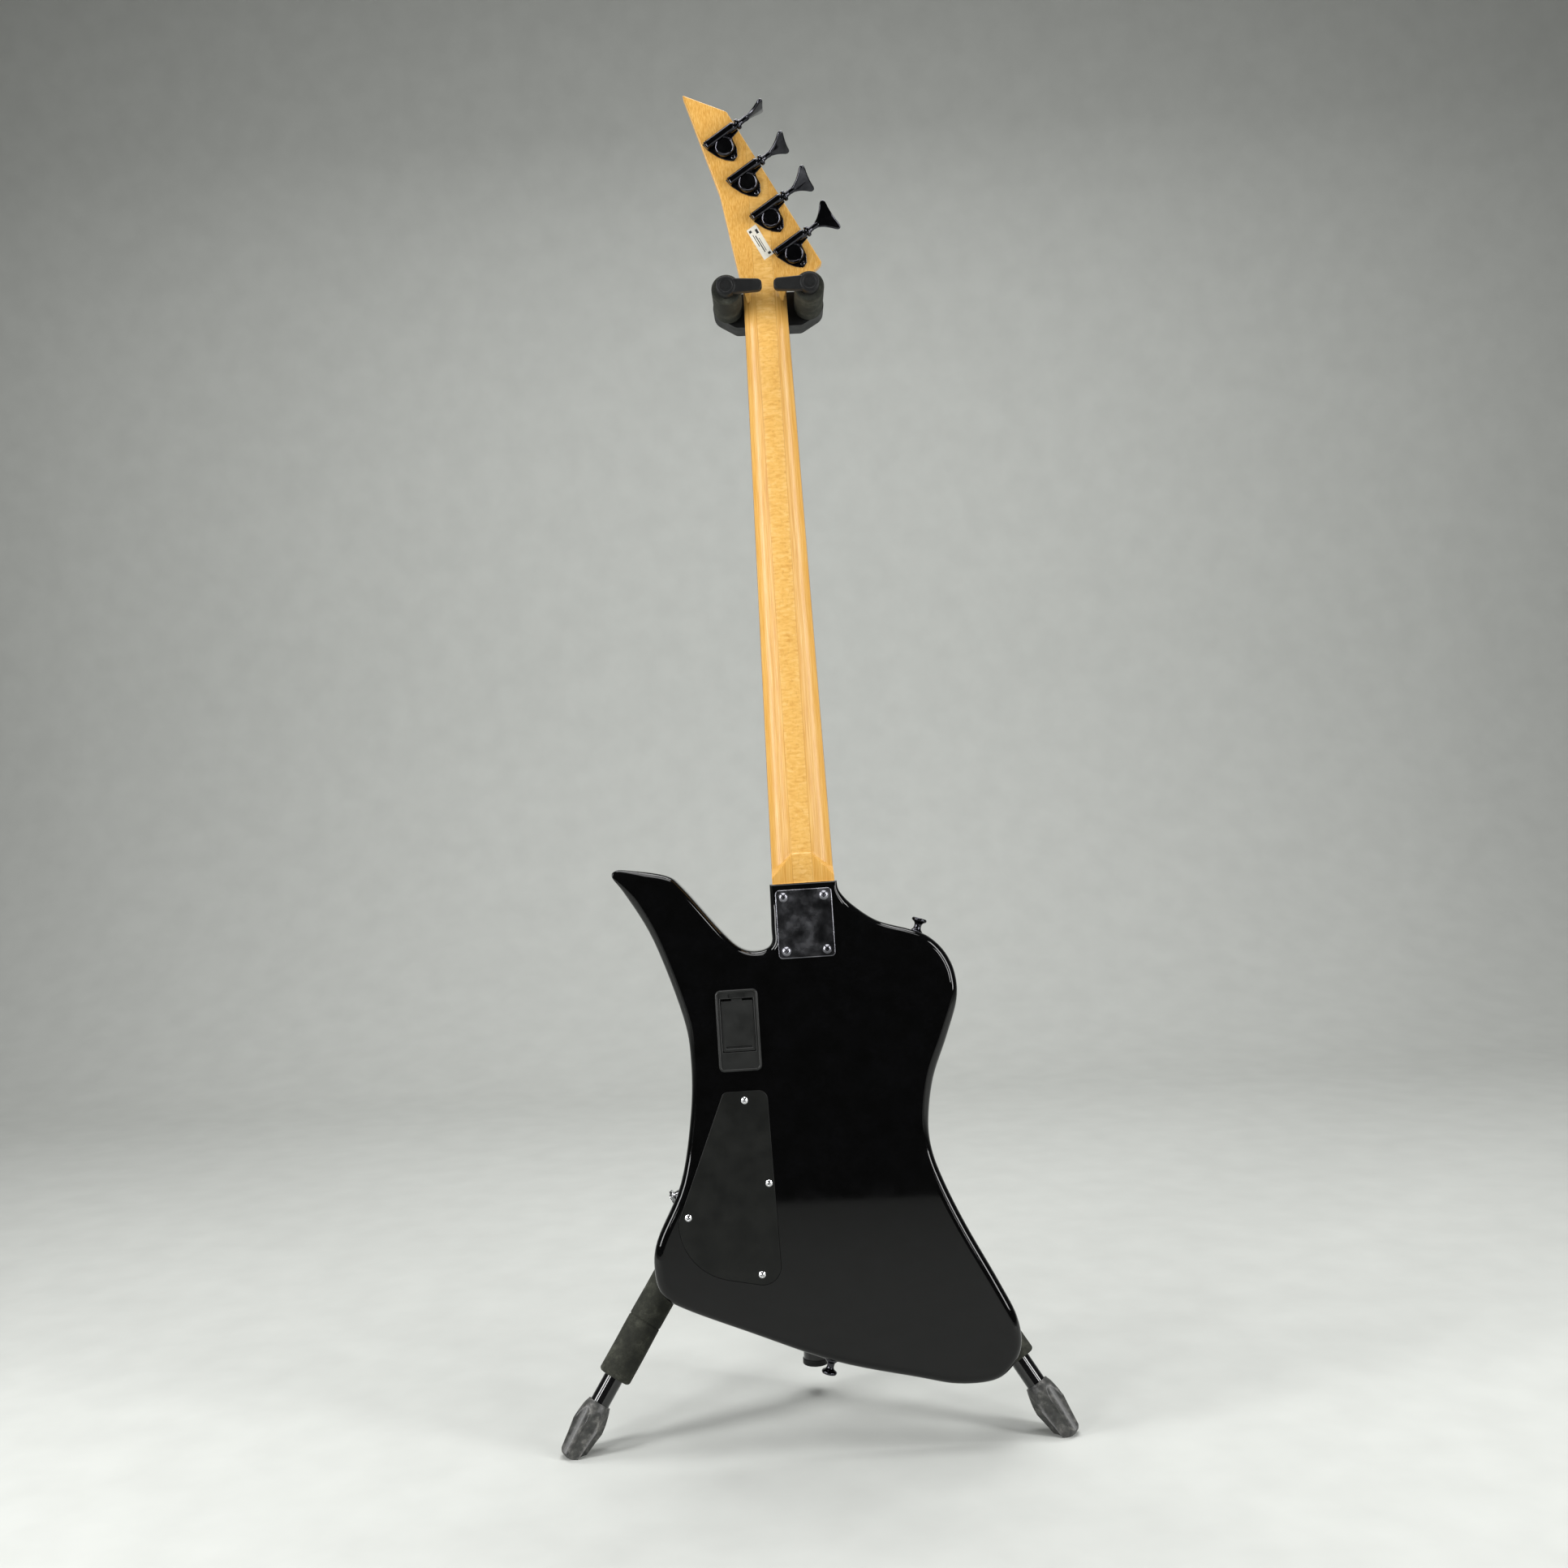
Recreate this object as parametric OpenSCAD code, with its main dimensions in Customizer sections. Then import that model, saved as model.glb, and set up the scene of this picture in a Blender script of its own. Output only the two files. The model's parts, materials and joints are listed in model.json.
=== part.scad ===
// Four-string electric bass hanging by its headstock in the self-closing yoke of a tripod stand.
// Millimetres, +Z up, strings towards +Y. The floor is z = 0.
// The instrument is drawn in its own frame: x across, y out of the fingerboard, z up the neck,
// with the nut at zero. hung() puts it in the yoke.

/* [Instrument] */
// Scale length from nut to saddles
scale_length = 864; // [850:1:870]
// Thickness of the body
body_thick = 42; // [40:1:44]
// Width of the neck at the nut
nut_width = 42.6; // [41:0.2:44]
// Gain of neck width for each millimetre down from the nut
neck_taper = 0.0296; // [0.028:0.0004:0.031]
// Backward angle of the headstock
head_angle = 9; // [7:0.5:10]
// Number of frets
fret_count = 24; // [20:1:24]
// Number of strings
string_count = 4; // [4:1:4]

/* [Hanging] */
// How far the hanging instrument leans, its tail away from the mast
lean = 3.9; // [3.7:0.1:4.1]
// How far the hanging instrument tips sideways
tip = 1.1; // [0.9:0.1:1.3]

/* [Stand] */
// Height of the gate pivots above the floor
gate_height = 1099; // [1097:1:1100]
// Distance between the two gate pivots
gate_spacing = 80; // [79:0.5:84]
// Outer diameter of the lower mast tube
mast_d = 25; // [24:0.5:26]
// Outer diameter of the leg tubes
leg_d = 19; // [18:0.5:20]
// Angle of the spread legs from the vertical
leg_angle = 37; // [36:0.5:38]
// Outer diameter of the foam on the two front legs
foam_d = 33; // [31:1:33]

/* [Hidden] */
$fn = 48;

// ---- shared colours
black_lacquer = [0.03, 0.03, 0.035];
maple = [0.86, 0.68, 0.42];
black_chrome = [0.16, 0.16, 0.18];
stand_black = [0.08, 0.08, 0.09];
foam_grey = [0.16, 0.17, 0.17];

// ---- places in the instrument's own frame
nut_place = [-3, -48, 1106];
board_thick = 6;
body_front = -10;
body_back = body_front - body_thick;
pocket_top = -582;
heel_end = -656;
heel_back = body_front - 16;
neck_depth = 15;
string_gap_nut = 10;
string_gap_saddle = 19;
string_radius = [1.3, 1.05, 0.8, 0.55];
board_end = -652;
saddle_line = -scale_length;
head_thick = 15;
head_step = -3;
plate_centre = [-1, -620];
plate_half = [26.7, 32.2];
plate_thick = 1.8;
neck_bolt_half = [19, 25.2];
neck_bolt_r = 1.9;
heel_top = pocket_top + 14;
pocket_gap = 0.05;

// ---- tuners, seen from behind, lowest first; the row leans with the headstock's long edge
tuner_first = [31, 35.5];
tuner_pitch = 40.6;
tuner_row_angle = 120.2;
// How far each key is turned from lying flat with the back of the headstock
key_turn = [10, 50, 65, 88];
worm_offset = 9;
post_r = 5;
key_angle = 32;

// ---- stand
mast_y = -54.9;
mast_r = mast_d / 2;
upper_r = 9.5;
leg_radius = 30;
leg_pivot_z = 321;
leg_length = 377;
foam_top = 70;
foam_end = 311;
foot_top = 344;
arm_front = -104;
gate_thick = 9;
gate_plane = -106.6;
slide_fit = 0.05;
leg_azimuths = [-150, -30, 90];

// Outline corners [x, y, radius] joined by straight lines and rounded with arcs.
function turn_of(a, b, c) =
  let (u = a - b, v = c - b)
  acos(max(-1, min(1, (u * v) / (norm(u) * norm(v)))));
function arc_at(a, b, c, r, n) =
  let (
    ua = (a - b) / norm(a - b),
    uc = (c - b) / norm(c - b),
    half = turn_of(a, b, c) / 2,
    reach = r / tan(half),
    mid = (ua + uc) / norm(ua + uc),
    centre = b + mid * r / sin(half),
    p = b + ua * reach - centre,
    q = b + uc * reach - centre,
    start = atan2(p[1], p[0]),
    raw = atan2(q[1], q[0]) - start,
    sweep = raw > 180 ? raw - 360 : raw < -180 ? raw + 360 : raw
  )
  [for (i = [0 : n]) centre + r * [cos(start + sweep * i / n), sin(start + sweep * i / n)]];
function flat2(p) = [p[0], p[1]];
function rounded(corners, n = 6) =
  let (m = len(corners))
  [for (i = [0 : m - 1])
    let (b = corners[i])
    for (p = b[2] > 0
      ? arc_at(flat2(corners[(i + m - 1) % m]), flat2(b), flat2(corners[(i + 1) % m]), b[2], n)
      : [flat2(b)])
      p];

// A smooth curve through the given points (Catmull-Rom), n steps between neighbours.
function smooth_at(a, b, c, d, t) =
  0.5 * (2 * b + (c - a) * t + (2 * a - 5 * b + 4 * c - d) * t * t
    + (3 * b - a - 3 * c + d) * t * t * t);
function smooth(pts, n) =
  let (m = len(pts))
  [for (i = [0 : m - 2])
    let (
      a = i > 0 ? pts[i - 1] : pts[0],
      d = i < m - 2 ? pts[i + 2] : pts[m - 1]
    )
    for (k = [0 : n - 1]) smooth_at(a, pts[i], pts[i + 1], d, k / n),
    pts[m - 1]];

// Body outline from the bass-side corner of the neck pocket, round the tail, to the other corner.
outline_marks = [
  [31, -582], [33, -592], [45, -606], [67, -622], [97, -632], [114, -640], [128, -655],
  [136, -675], [136, -700], [124, -734], [109, -771], [102, -808], [103, -836], [112, -866],
  [130, -908], [157, -962], [171, -994], [173, -1020], [163, -1039], [145, -1050],
  [112, -1051], [76, -1043], [1, -1024], [-76, -993], [-135, -968], [-155, -954],
  [-161, -932], [-157, -904], [-132, -853], [-119, -790], [-116, -740], [-121, -699],
  [-144, -628], [-168, -583], [-179, -566], [-176, -560], [-165, -560], [-130, -567],
  [-114, -580], [-80, -623], [-62, -640], [-45, -643], [-34, -637], [-33, -620], [-32, -582]
];
body_outline = smooth(outline_marks, 3);

cover_thick = 2.2;
cover_proud = 0.2;
cover_gap = 0.3;
cover_corners = [
  [-87.5, -771, 6], [-46, -771, 9], [-43, -953, 17], [-135.5, -934, 54], [-136, -887, 5]
];
head_corners = [
  [-18, -8, 0], [-21.6, 5, 8], [-26, 29, 30], [-38, 98, 0], [-68, 193, 0.6],
  [-26, 175, 6], [58, 26, 2], [47, 16.5, 3], [30, 13, 9], [21.6, 3, 5], [18, -8, 0]
];

function neck_half(z) = (nut_width + neck_taper * abs(z)) / 2;
function fret_z(n) = -scale_length * (1 - pow(2, -n / 12));
function string_x(i, gap) = (i - (string_count - 1) / 2) * gap;
function tuner_at(i) =
  tuner_first + i * tuner_pitch * [cos(tuner_row_angle), sin(tuner_row_angle)];
// A point on the headstock: x across, up along the plate, out in front of its front face.
function head_point(x, up, out) = [
  x,
  head_step + out * cos(head_angle) - up * sin(head_angle),
  up * cos(head_angle) + out * sin(head_angle)
];

// ---- placing helpers
module hung() {
  translate([0, mast_y, 0]) translate(nut_place) rotate([-lean, 0, 0]) rotate([0, -tip, 0])
    children();
}
module on_head() {
  translate([0, head_step, 0]) rotate([head_angle, 0, 0]) children();
}
// Turns an outline drawn in x and z into a slab from y0 to y1.
module slab(points, y0, y1) {
  translate([0, y1, 0]) rotate([90, 0, 0]) linear_extrude(height = y1 - y0) polygon(points);
}
module block(x0, x1, y0, y1, z0, z1) {
  translate([x0, y0, z0]) cube([x1 - x0, y1 - y0, z1 - z0]);
}
module rod(a, b, r) {
  d = b - a;
  translate(a) rotate([0, acos(d[2] / norm(d)), atan2(d[1], d[0])]) cylinder(h = norm(d), r = r);
}
// A cylinder along y from y0 to y1.
module post_y(x, z, y0, y1, r) {
  translate([x, y1, z]) rotate([90, 0, 0]) cylinder(h = y1 - y0, r = r);
}
module on_mast() {
  translate([0, mast_y, 0]) children();
}
// A leg frame: z runs down the leg from its pivot, x lies level.
module on_leg(azimuth) {
  on_mast() rotate([0, 0, azimuth]) translate([leg_radius, 0, leg_pivot_z])
    rotate([0, 180 - leg_angle, 0]) children();
}

// ---- instrument
// The edge is rounded in layers: each is the outline pulled in, and comes nearer to the faces.
edge_layers = [[0, 5.5], [1.4, 2.6], [3.6, 0.9], [6.6, 0]];
horn_tip = [-179, -566];
function outward(pts, i) =
  let (
    m = len(pts),
    d = pts[min(i + 1, m - 1)] - pts[max(i - 1, 0)]
  )
  [-d[1], d[0]] / norm(d);
// The outline pulled in by a distance, less at the thin horn tip and not at all by the neck.
function pulled_in(pts, dist) =
  [for (i = [0 : len(pts) - 1])
    let (
      by_neck = i < 3 || i > len(pts) - 5,
      reach = by_neck ? 0 : min(dist, 0.25 * norm(pts[i] - horn_tip))
    )
    pts[i] - outward(pts, i) * reach];
module body_shell() {
  for (layer = edge_layers)
    slab(pulled_in(body_outline, layer[0]), body_back + layer[1], body_front - layer[1]);
}
jack_place = [-139, -868];
jack_turn = 206;
jack_seat = -0.4;
// Each strap button: x, z and the direction it points, in degrees from the x axis
strap_places = [[103.5, -635.5, 71], [-2.5, -1025.5, -105]];
strap_seat = -0.5;
strap_ledge = 11.5;
module along_edge(place, turn) {
  translate([place[0], (body_front + body_back) / 2, place[1]]) rotate([0, 90 - turn, 0])
    children();
}
battery_centre = [-69.5, -715];
knob_places = [[-82, -812], [-92, -858], [-96, -904]];
module guitar_body() {
  color(black_lacquer) hung() difference() {
    body_shell();
    heel_outline(pocket_gap, body_front + 1);
    neck_bolt_holes(body_back - 1, heel_back + 1, 2.6);
    slab(rounded(cover_corners), body_back - 1, body_back + cover_thick - cover_proud);
    slab(rounded([[-84, -781, 6], [-52, -781, 6], [-50, -942, 12], [-126, -926, 44], [-126, -886, 5]]),
      body_back - 1, body_front - 6);
    block(battery_centre[0] - 17.6, battery_centre[0] + 17.6, body_back - 1, body_back + 28,
      battery_centre[1] - 36, battery_centre[1] + 36);
    for (z = pickup_lines)
      block(-45.5, 45.5, body_front - 20, body_front + 1, z - 19, z + 19);
    for (p = knob_places) post_y(p[0], p[1], body_front - 7, body_front + 1, 4.7);
    along_edge(jack_place, jack_turn) {
      translate([0, 0, -24]) cylinder(h = 40, r = 4.8);
      translate([0, 0, jack_seat]) cylinder(h = 20, r = 8.2);
    }
    for (s = strap_places) along_edge([s[0], s[1]], s[2])
      translate([0, 0, strap_seat]) cylinder(h = 20, r = 6.4);
  }
}
// The heel's outline as a block from the heel's back to y1, grown sideways by a gap.
module heel_outline(gap, y1) {
  slab([
    [-neck_half(pocket_top) - gap, heel_top], [neck_half(pocket_top) + gap, heel_top],
    [neck_half(heel_end) + gap, heel_end], [-neck_half(heel_end) - gap, heel_end]
  ], heel_back, y1);
}
module neck_bolt_holes(y0, y1, r) {
  for (sx = [-1, 1], sz = [-1, 1])
    post_y(plate_centre[0] + sx * neck_bolt_half[0], plate_centre[1] + sz * neck_bolt_half[1], y0, y1, r);
}
module neck() {
  stations = [2, heel_end + 74];
  arc_steps = 12;
  color(maple) hung() difference() {
    union() {
      polyhedron(
        points = [for (k = [0, 1]) let (z = stations[k], w = neck_half(z), depth = neck_depth + 3 * k)
          for (i = [0 : arc_steps])
            [w * cos(180 * i / arc_steps), -board_thick - depth * sin(180 * i / arc_steps), z]],
        faces = [
          [for (i = [0 : arc_steps]) i],
          [for (i = [arc_steps : -1 : 0]) arc_steps + 1 + i],
          for (i = [0 : arc_steps - 1]) [i + 1, i, arc_steps + 1 + i, arc_steps + 2 + i],
          [0, arc_steps, 2 * arc_steps + 1, arc_steps + 1]
        ]
      );
      heel_outline(0, -board_thick);
      difference() {
        on_head() slab(rounded(head_corners), -head_thick, 0);
        block(-40, 40, -board_thick, 10, -30, -0.1);
      }
    }
    for (i = [0 : string_count - 1])
      on_head() post_y(tuner_at(i)[0], tuner_at(i)[1], -head_thick - 1, 1, post_r + 1.5);
    block(-3.2, 3.2, -13.2, -board_thick + 0.1, -640, -1.5);
    on_head() block(-3.2, 3.2, -10, 1, 12, 42);
    neck_bolt_holes(heel_back - 1, heel_back + 12, neck_bolt_r);
  }
}
module fretboard() {
  color([0.24, 0.15, 0.1]) hung()
    difference() {
      slab([
        [-neck_half(0), -0.2], [neck_half(0), -0.2],
        [neck_half(board_end), board_end], [-neck_half(board_end), board_end]
      ], -board_thick, 0);
      for (n = [1 : fret_count])
        block(-40, 40, -1.6, 1, fret_z(n) - 0.3, fret_z(n) + 0.3);
      for (n = dot_frets) dot_at(n, 0, 1);
      dot_at(12, 9, 1);
      dot_at(24, 9, 1);
      dot_at(12, -9, 1);
      dot_at(24, -9, 1);
    }
}
dot_frets = [3, 5, 7, 9, 15, 17, 19, 21];
module dot_at(n, x, top) {
  post_y(x, (fret_z(n) + fret_z(n - 1)) / 2, -1.5, top, 3.2);
}
module frets() {
  color("silver") hung() for (n = [1 : fret_count]) {
    half = neck_half(fret_z(n)) - 0.3;
    block(-half, half, -1.6, 0, fret_z(n) - 0.3, fret_z(n) + 0.3);
    block(-half, half, 0, 1, fret_z(n) - 1.3, fret_z(n) + 1.3);
  }
}
module nut() {
  color("ivory") hung() difference() {
    block(-neck_half(0) + 0.1, neck_half(0) - 0.1, -2.9, 2.4, 0, 5);
    for (i = [0 : string_count - 1])
      block(string_x(i, string_gap_nut) - string_radius[i], string_x(i, string_gap_nut)
        + string_radius[i], 1.2 - 0.3 * string_radius[i], 3, -1, 6);
  }
}
module truss_rod() {
  color("silver") hung() {
    block(-3, 3, -13, -board_thick - 0.2, -636, -10);
    rod([0, -9.6, -10.2], [0, -9.6, -2], 2.9);
  }
}
module truss_rod_cover() {
  color("black") hung() on_head() difference() {
    slab(rounded([[-9, 9, 2], [9, 9, 2], [6, 46, 3], [-6, 46, 3]]), 0, 1.8);
    post_y(0, 12.5, -1, 3, 1.2);
    post_y(0, 42, -1, 3, 1.2);
  }
}
module neck_plate() {
  color(black_chrome) hung() difference() {
    slab(rounded([for (s = [[-1, -1], [1, -1], [1, 1], [-1, 1]])
      [plate_centre[0] + s[0] * plate_half[0], plate_centre[1] + s[1] * plate_half[1], 4]]),
      body_back - plate_thick, body_back);
    neck_bolt_holes(body_back - 3, body_back + 1, 2.6);
  }
}
// A dome-head wood screw pointing towards +y from its seat.
module wood_screw(head_r, shank_r, length) {
  rotate([-90, 0, 0]) difference() {
    rotate_extrude() polygon([
      [0, -head_r * 0.5], [head_r * 0.55, -head_r * 0.38], [head_r, 0], [shank_r, 0],
      [shank_r, length - shank_r * 2], [0, length]
    ]);
    translate([-head_r * 0.62, -0.45, -head_r]) cube([head_r * 1.24, 0.9, head_r * 0.85]);
    translate([-0.45, -head_r * 0.62, -head_r]) cube([0.9, head_r * 1.24, head_r * 0.85]);
  }
}
module neck_screws() {
  color(black_chrome) hung() for (sx = [-1, 1], sz = [-1, 1])
    translate([plate_centre[0] + sx * neck_bolt_half[0], body_back - plate_thick,
      plate_centre[1] + sz * neck_bolt_half[1]])
      wood_screw(4.3, neck_bolt_r, 37);
}

// ---- tuners
module at_tuner(i) {
  on_head() translate([tuner_at(i)[0], -head_thick, tuner_at(i)[1]])
    rotate([0, -key_angle, 0]) children();
}
worm_depth = -6.2;
module tuner_housings() {
  color(black_chrome) hung() for (i = [0 : string_count - 1]) at_tuner(i) difference() {
    union() {
      slab(rounded([[-16, 3, 1], [-13, -9, 3], [4, -15.5, 3], [12, -13, 4], [13, 3, 2], [21, 4, 1],
        [21, 15, 2], [-16, 15, 1]]), -1.6, 0);
      post_y(0, 0, -10.5, -1.6, 9.8);
      block(-15, 20.5, -11, -1.6, 5.5, 14);
    }
    post_y(0, 0, -9, 1, 8.2);
    translate([-13, worm_depth, worm_offset]) rotate([0, 90, 0]) cylinder(h = 40, r = 3.05);
    block(-11, 11, worm_depth - 1, worm_depth + 1, 2, 7);
    post_y(4, -11.5, -3, 1, 1.3);
  }
}
module tuner_screws() {
  color(black_chrome) hung() for (i = [0 : string_count - 1]) at_tuner(i)
    translate([4, -1.7, -11.5]) wood_screw(2.3, 1.1, 11);
}
// Key, shaft and worm turn together in the housing.
module tuner_key(i) {
  color(black_chrome) hung() at_tuner(i) translate([0, worm_depth, worm_offset])
    rotate([key_turn[i], 0, 0]) union() {
      translate([-11, 0, 0]) rotate([0, 90, 0]) cylinder(h = 33, r = 3);
      translate([21.5, 0, 0]) rotate([0, 90, 0]) cylinder(h = 3, r = 4.6);
      block(24, 34, -2.4, 2.4, -3, 3);
      slab([[30, -2.2], [36, -4.2], [43, -9.5], [48, -14.6], [50.6, -15.8], [52.6, -13.6],
        [52.6, -9], [51.6, 0], [52.6, 9], [52.6, 13.6], [50.6, 15.8], [48, 14.6], [43, 9.5],
        [36, 4.2], [30, 2.2]], -1.6, 1.6);
    }
}
// Post, bushing collar and gear wheel of one tuner.
module tuner_post(i) {
  color("silver") hung() on_head() translate([tuner_at(i)[0], 0, tuner_at(i)[1]])
    difference() {
      union() {
        post_y(0, 0, -head_thick - 8.8, -head_thick - 3.2, 5.4);
        post_y(0, 0, -head_thick - 3.3, 18, post_r);
        post_y(0, 0, 18, 21, post_r + 1.2);
        post_y(0, 0, 3, 6, post_r + 1.2);
      }
      block(-1.2, 1.2, 15, 22, -8, 8);
    }
}

// ---- bridge, pickups, controls
saddle_top = 3.2;
saddle_half = 8.5;
bridge_screw_y = body_front + 7;
string_slot_y = body_front + 10.2;
module bridge_plate() {
  color(black_chrome) hung() difference() {
    union() {
      slab(rounded([[-42, saddle_line - 50, 3], [42, saddle_line - 50, 3], [42, saddle_line + 22, 3],
        [-42, saddle_line + 22, 3]]), body_front, body_front + 3);
      block(-40, 40, body_front + 2.9, body_front + 14, saddle_line - 49, saddle_line - 44);
    }
    for (i = [0 : string_count - 1]) {
      x = string_x(i, string_gap_saddle);
      rod([x, bridge_screw_y, saddle_line - 60], [x, bridge_screw_y, saddle_line - 40], 1.7);
      block(x - 3, x + 3, string_slot_y, body_front + 15, saddle_line - 60, saddle_line - 40);
    }
    for (x = [-34, 0, 34]) post_y(x, saddle_line + 16, body_front - 1, body_front + 4, 2);
  }
}
module bridge_saddles() {
  color("silver") hung() for (i = [0 : string_count - 1]) difference() {
    x = string_x(i, string_gap_saddle);
    union() {
      block(x - saddle_half, x + saddle_half, body_front + 4, 0.4, saddle_line - 12, saddle_line + 6);
      block(x - saddle_half, x + saddle_half, 0.3, saddle_top - string_radius[i] - 0.1,
        saddle_line - 1.5, saddle_line + 1.5);
    }
    rod([x, bridge_screw_y, saddle_line - 14], [x, bridge_screw_y, saddle_line + 8], 1.55);
    for (dx = [-6, 6])
      post_y(x + dx, saddle_line - 6, body_front + 2, body_front + 14, 1.25);
  }
}
module bridge_screws() {
  color("silver") hung() {
    for (i = [0 : string_count - 1]) {
      x = string_x(i, string_gap_saddle);
      rod([x, bridge_screw_y, saddle_line - 52], [x, bridge_screw_y, saddle_line + 7], 1.5);
      rod([x, bridge_screw_y, saddle_line - 54], [x, bridge_screw_y, saddle_line - 50.4], 2.6);
      for (dx = [-6, 6])
        post_y(x + dx, saddle_line - 6, body_front + 3.1, body_front + 12, 1.2);
    }
    for (x = [-34, 0, 34]) translate([x, body_front + 3, saddle_line + 16]) rotate([180, 0, 0])
      wood_screw(3.3, 1.6, 20);
  }
}
pickup_rise = 6.5;
pickup_lines = [-722, -806];
module pickup(z) {
  color("black") hung() difference() {
    slab(rounded([[-45, z - 18.5, 5], [45, z - 18.5, 5], [45, z + 18.5, 5], [-45, z + 18.5, 5]]),
      body_front - 18, body_front + pickup_rise);
    for (x = [-39.5, 39.5]) post_y(x, z, body_front - 19, body_front + 8, 1.9);
  }
}
module pickup_front() { pickup(pickup_lines[0]); }
module pickup_rear() { pickup(pickup_lines[1]); }
module pickup_screws() {
  color(black_chrome) hung() for (z = pickup_lines, x = [-39.5, 39.5])
    translate([x, body_front + pickup_rise, z]) rotate([180, 0, 0]) wood_screw(2.9, 1.7, 24);
}
// A knurled control knob with the pot's spindle pressed into it.
module knob(i) {
  color(black_chrome) hung() translate([knob_places[i][0], body_front, knob_places[i][1]])
    rotate([-90, 0, 0]) difference() {
      union() {
        rotate_extrude() polygon([[0, 3], [8.6, 3], [9.4, 3.8], [9.2, 16], [8, 17.4], [0, 17.8]]);
        translate([0, 0, -12]) cylinder(h = 20, r = 3);
      }
      translate([-0.5, 4, 17]) cube([1, 5.6, 2]);
    }
}
module pots() {
  color("silver") hung() for (p = knob_places)
    translate([p[0], body_front, p[1]]) rotate([-90, 0, 0]) difference() {
      union() {
        translate([0, 0, -16]) cylinder(h = 9.8, r = 11.5);
        translate([0, 0, -7]) cylinder(h = 9.4, r = 4.4);
        translate([0, 0, 0.02]) cylinder(h = 2, r = 6.6, $fn = 6);
      }
      translate([0, 0, -13]) cylinder(h = 20, r = 3.06);
    }
}
module preamp_board() {
  color("darkgreen") hung() {
    block(-96, -56, body_back + 6, body_back + 7.6, -930, -882);
    block(-90, -78, body_back + 7.6, body_back + 12, -920, -908);
    block(-70, -62, body_back + 7.6, body_back + 10, -900, -890);
  }
}
module output_jack() {
  color("silver") hung() along_edge(jack_place, jack_turn) difference() {
    union() {
      translate([0, 0, -22]) cylinder(h = 26, r = 4.6);
      translate([0, 0, 0.6]) cylinder(h = 2, r = 7.2, $fn = 6);
      translate([0, 0, jack_seat]) cylinder(h = 1.1, r = 7.6);
    }
    translate([0, 0, -17]) cylinder(h = 24, r = 3.2);
  }
}
battery_half = [20, 37.8];
// Hinge line of the battery door: y, and z from the box's centre
door_hinge = [body_back - 0.6, -17];
module battery_box() {
  bx = battery_centre[0];
  bz = battery_centre[1];
  color([0.12, 0.12, 0.13]) hung() difference() {
    union() {
      slab(rounded([for (s = [[-1, -1], [1, -1], [1, 1], [-1, 1]])
        [bx + s[0] * battery_half[0], bz + s[1] * battery_half[1], 5]]), body_back - 2.4, body_back);
      block(bx - 17.5, bx + 17.5, body_back, body_back + 27.5, bz - 35.5, bz + 35.5);
    }
    block(bx - 15.4, bx + 15.4, body_back - 3, body_back + 3, bz - 20, bz + 29.6);
    block(bx - 14, bx + 14, body_back + 2.5, body_back + 25, bz - 27.5, bz + 29);
    block(bx - 8, bx + 8, body_back - 3, body_back - 1, bz + 28, bz + 34);
    rod([bx - 16.4, door_hinge[0], bz + door_hinge[1]], [bx + 16.4, door_hinge[0], bz + door_hinge[1]], 1);
  }
}
module battery_door() {
  bx = battery_centre[0];
  bz = battery_centre[1];
  color([0.12, 0.12, 0.13]) hung() union() {
    block(bx - 15, bx + 15, body_back - 1.8, body_back + 0.6, bz - 19.4, bz + 27.5);
    block(bx - 5, bx + 5, body_back - 1.6, body_back - 0.2, bz + 27.4, bz + 29.2);
    rod([bx - 16, door_hinge[0], bz + door_hinge[1]], [bx + 16, door_hinge[0], bz + door_hinge[1]], 0.95);
  }
}
module battery() {
  bx = battery_centre[0];
  bz = battery_centre[1];
  color("dimgray") hung() union() {
    block(bx - 13, bx + 13, body_back + 5, body_back + 21.5, bz - 26, bz + 22);
    for (x = [-6.3, 6.3])
      rod([bx + x, body_back + 13, bz + 21.9], [bx + x, body_back + 13, bz + 25], 3);
  }
}
cover_screw_places = [[-68, -780], [-50, -857], [-126.5, -884], [-61.5, -939.5]];
module control_cover() {
  color([0.07, 0.07, 0.08]) hung() difference() {
    slab(rounded([for (c = cover_corners) [
      c[0] + (c[0] < -80 ? cover_gap : -cover_gap),
      c[1] + (c[1] > -800 ? -cover_gap : c[1] < -930 ? cover_gap : 0),
      c[2]
    ]]), body_back - cover_proud, body_back + cover_thick - cover_proud);
    for (p = cover_screw_places) post_y(p[0], p[1], body_back - 1, body_back + 3, 1.8);
  }
}
module cover_screws() {
  color("silver") hung() for (p = cover_screw_places)
    translate([p[0], body_back - cover_proud, p[1]]) wood_screw(3.3, 1.4, 14);
}
module strap_buttons() {
  color(black_chrome) hung() for (s = strap_places) along_edge([s[0], s[1]], s[2]) difference() {
    rotate_extrude() polygon([
      [0, strap_seat], [6, strap_seat], [5.6, 1.6], [3.6, 3.4], [3.4, 8.4], [6.2, 10.4], [7.2, 12.2],
      [6.6, 13.2], [0, 13.8]
    ]);
    translate([0, 0, -1]) cylinder(h = 20, r = 2.3);
    translate([0, 0, strap_ledge]) cylinder(h = 4, r = 4.2);
  }
}
module strap_screws() {
  color("silver") hung() for (s = strap_places) along_edge([s[0], s[1]], s[2])
    translate([0, 0, strap_ledge]) rotate([-90, 0, 0]) wood_screw(3.9, 2.1, 34);
}
string_height = 1.3;
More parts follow.
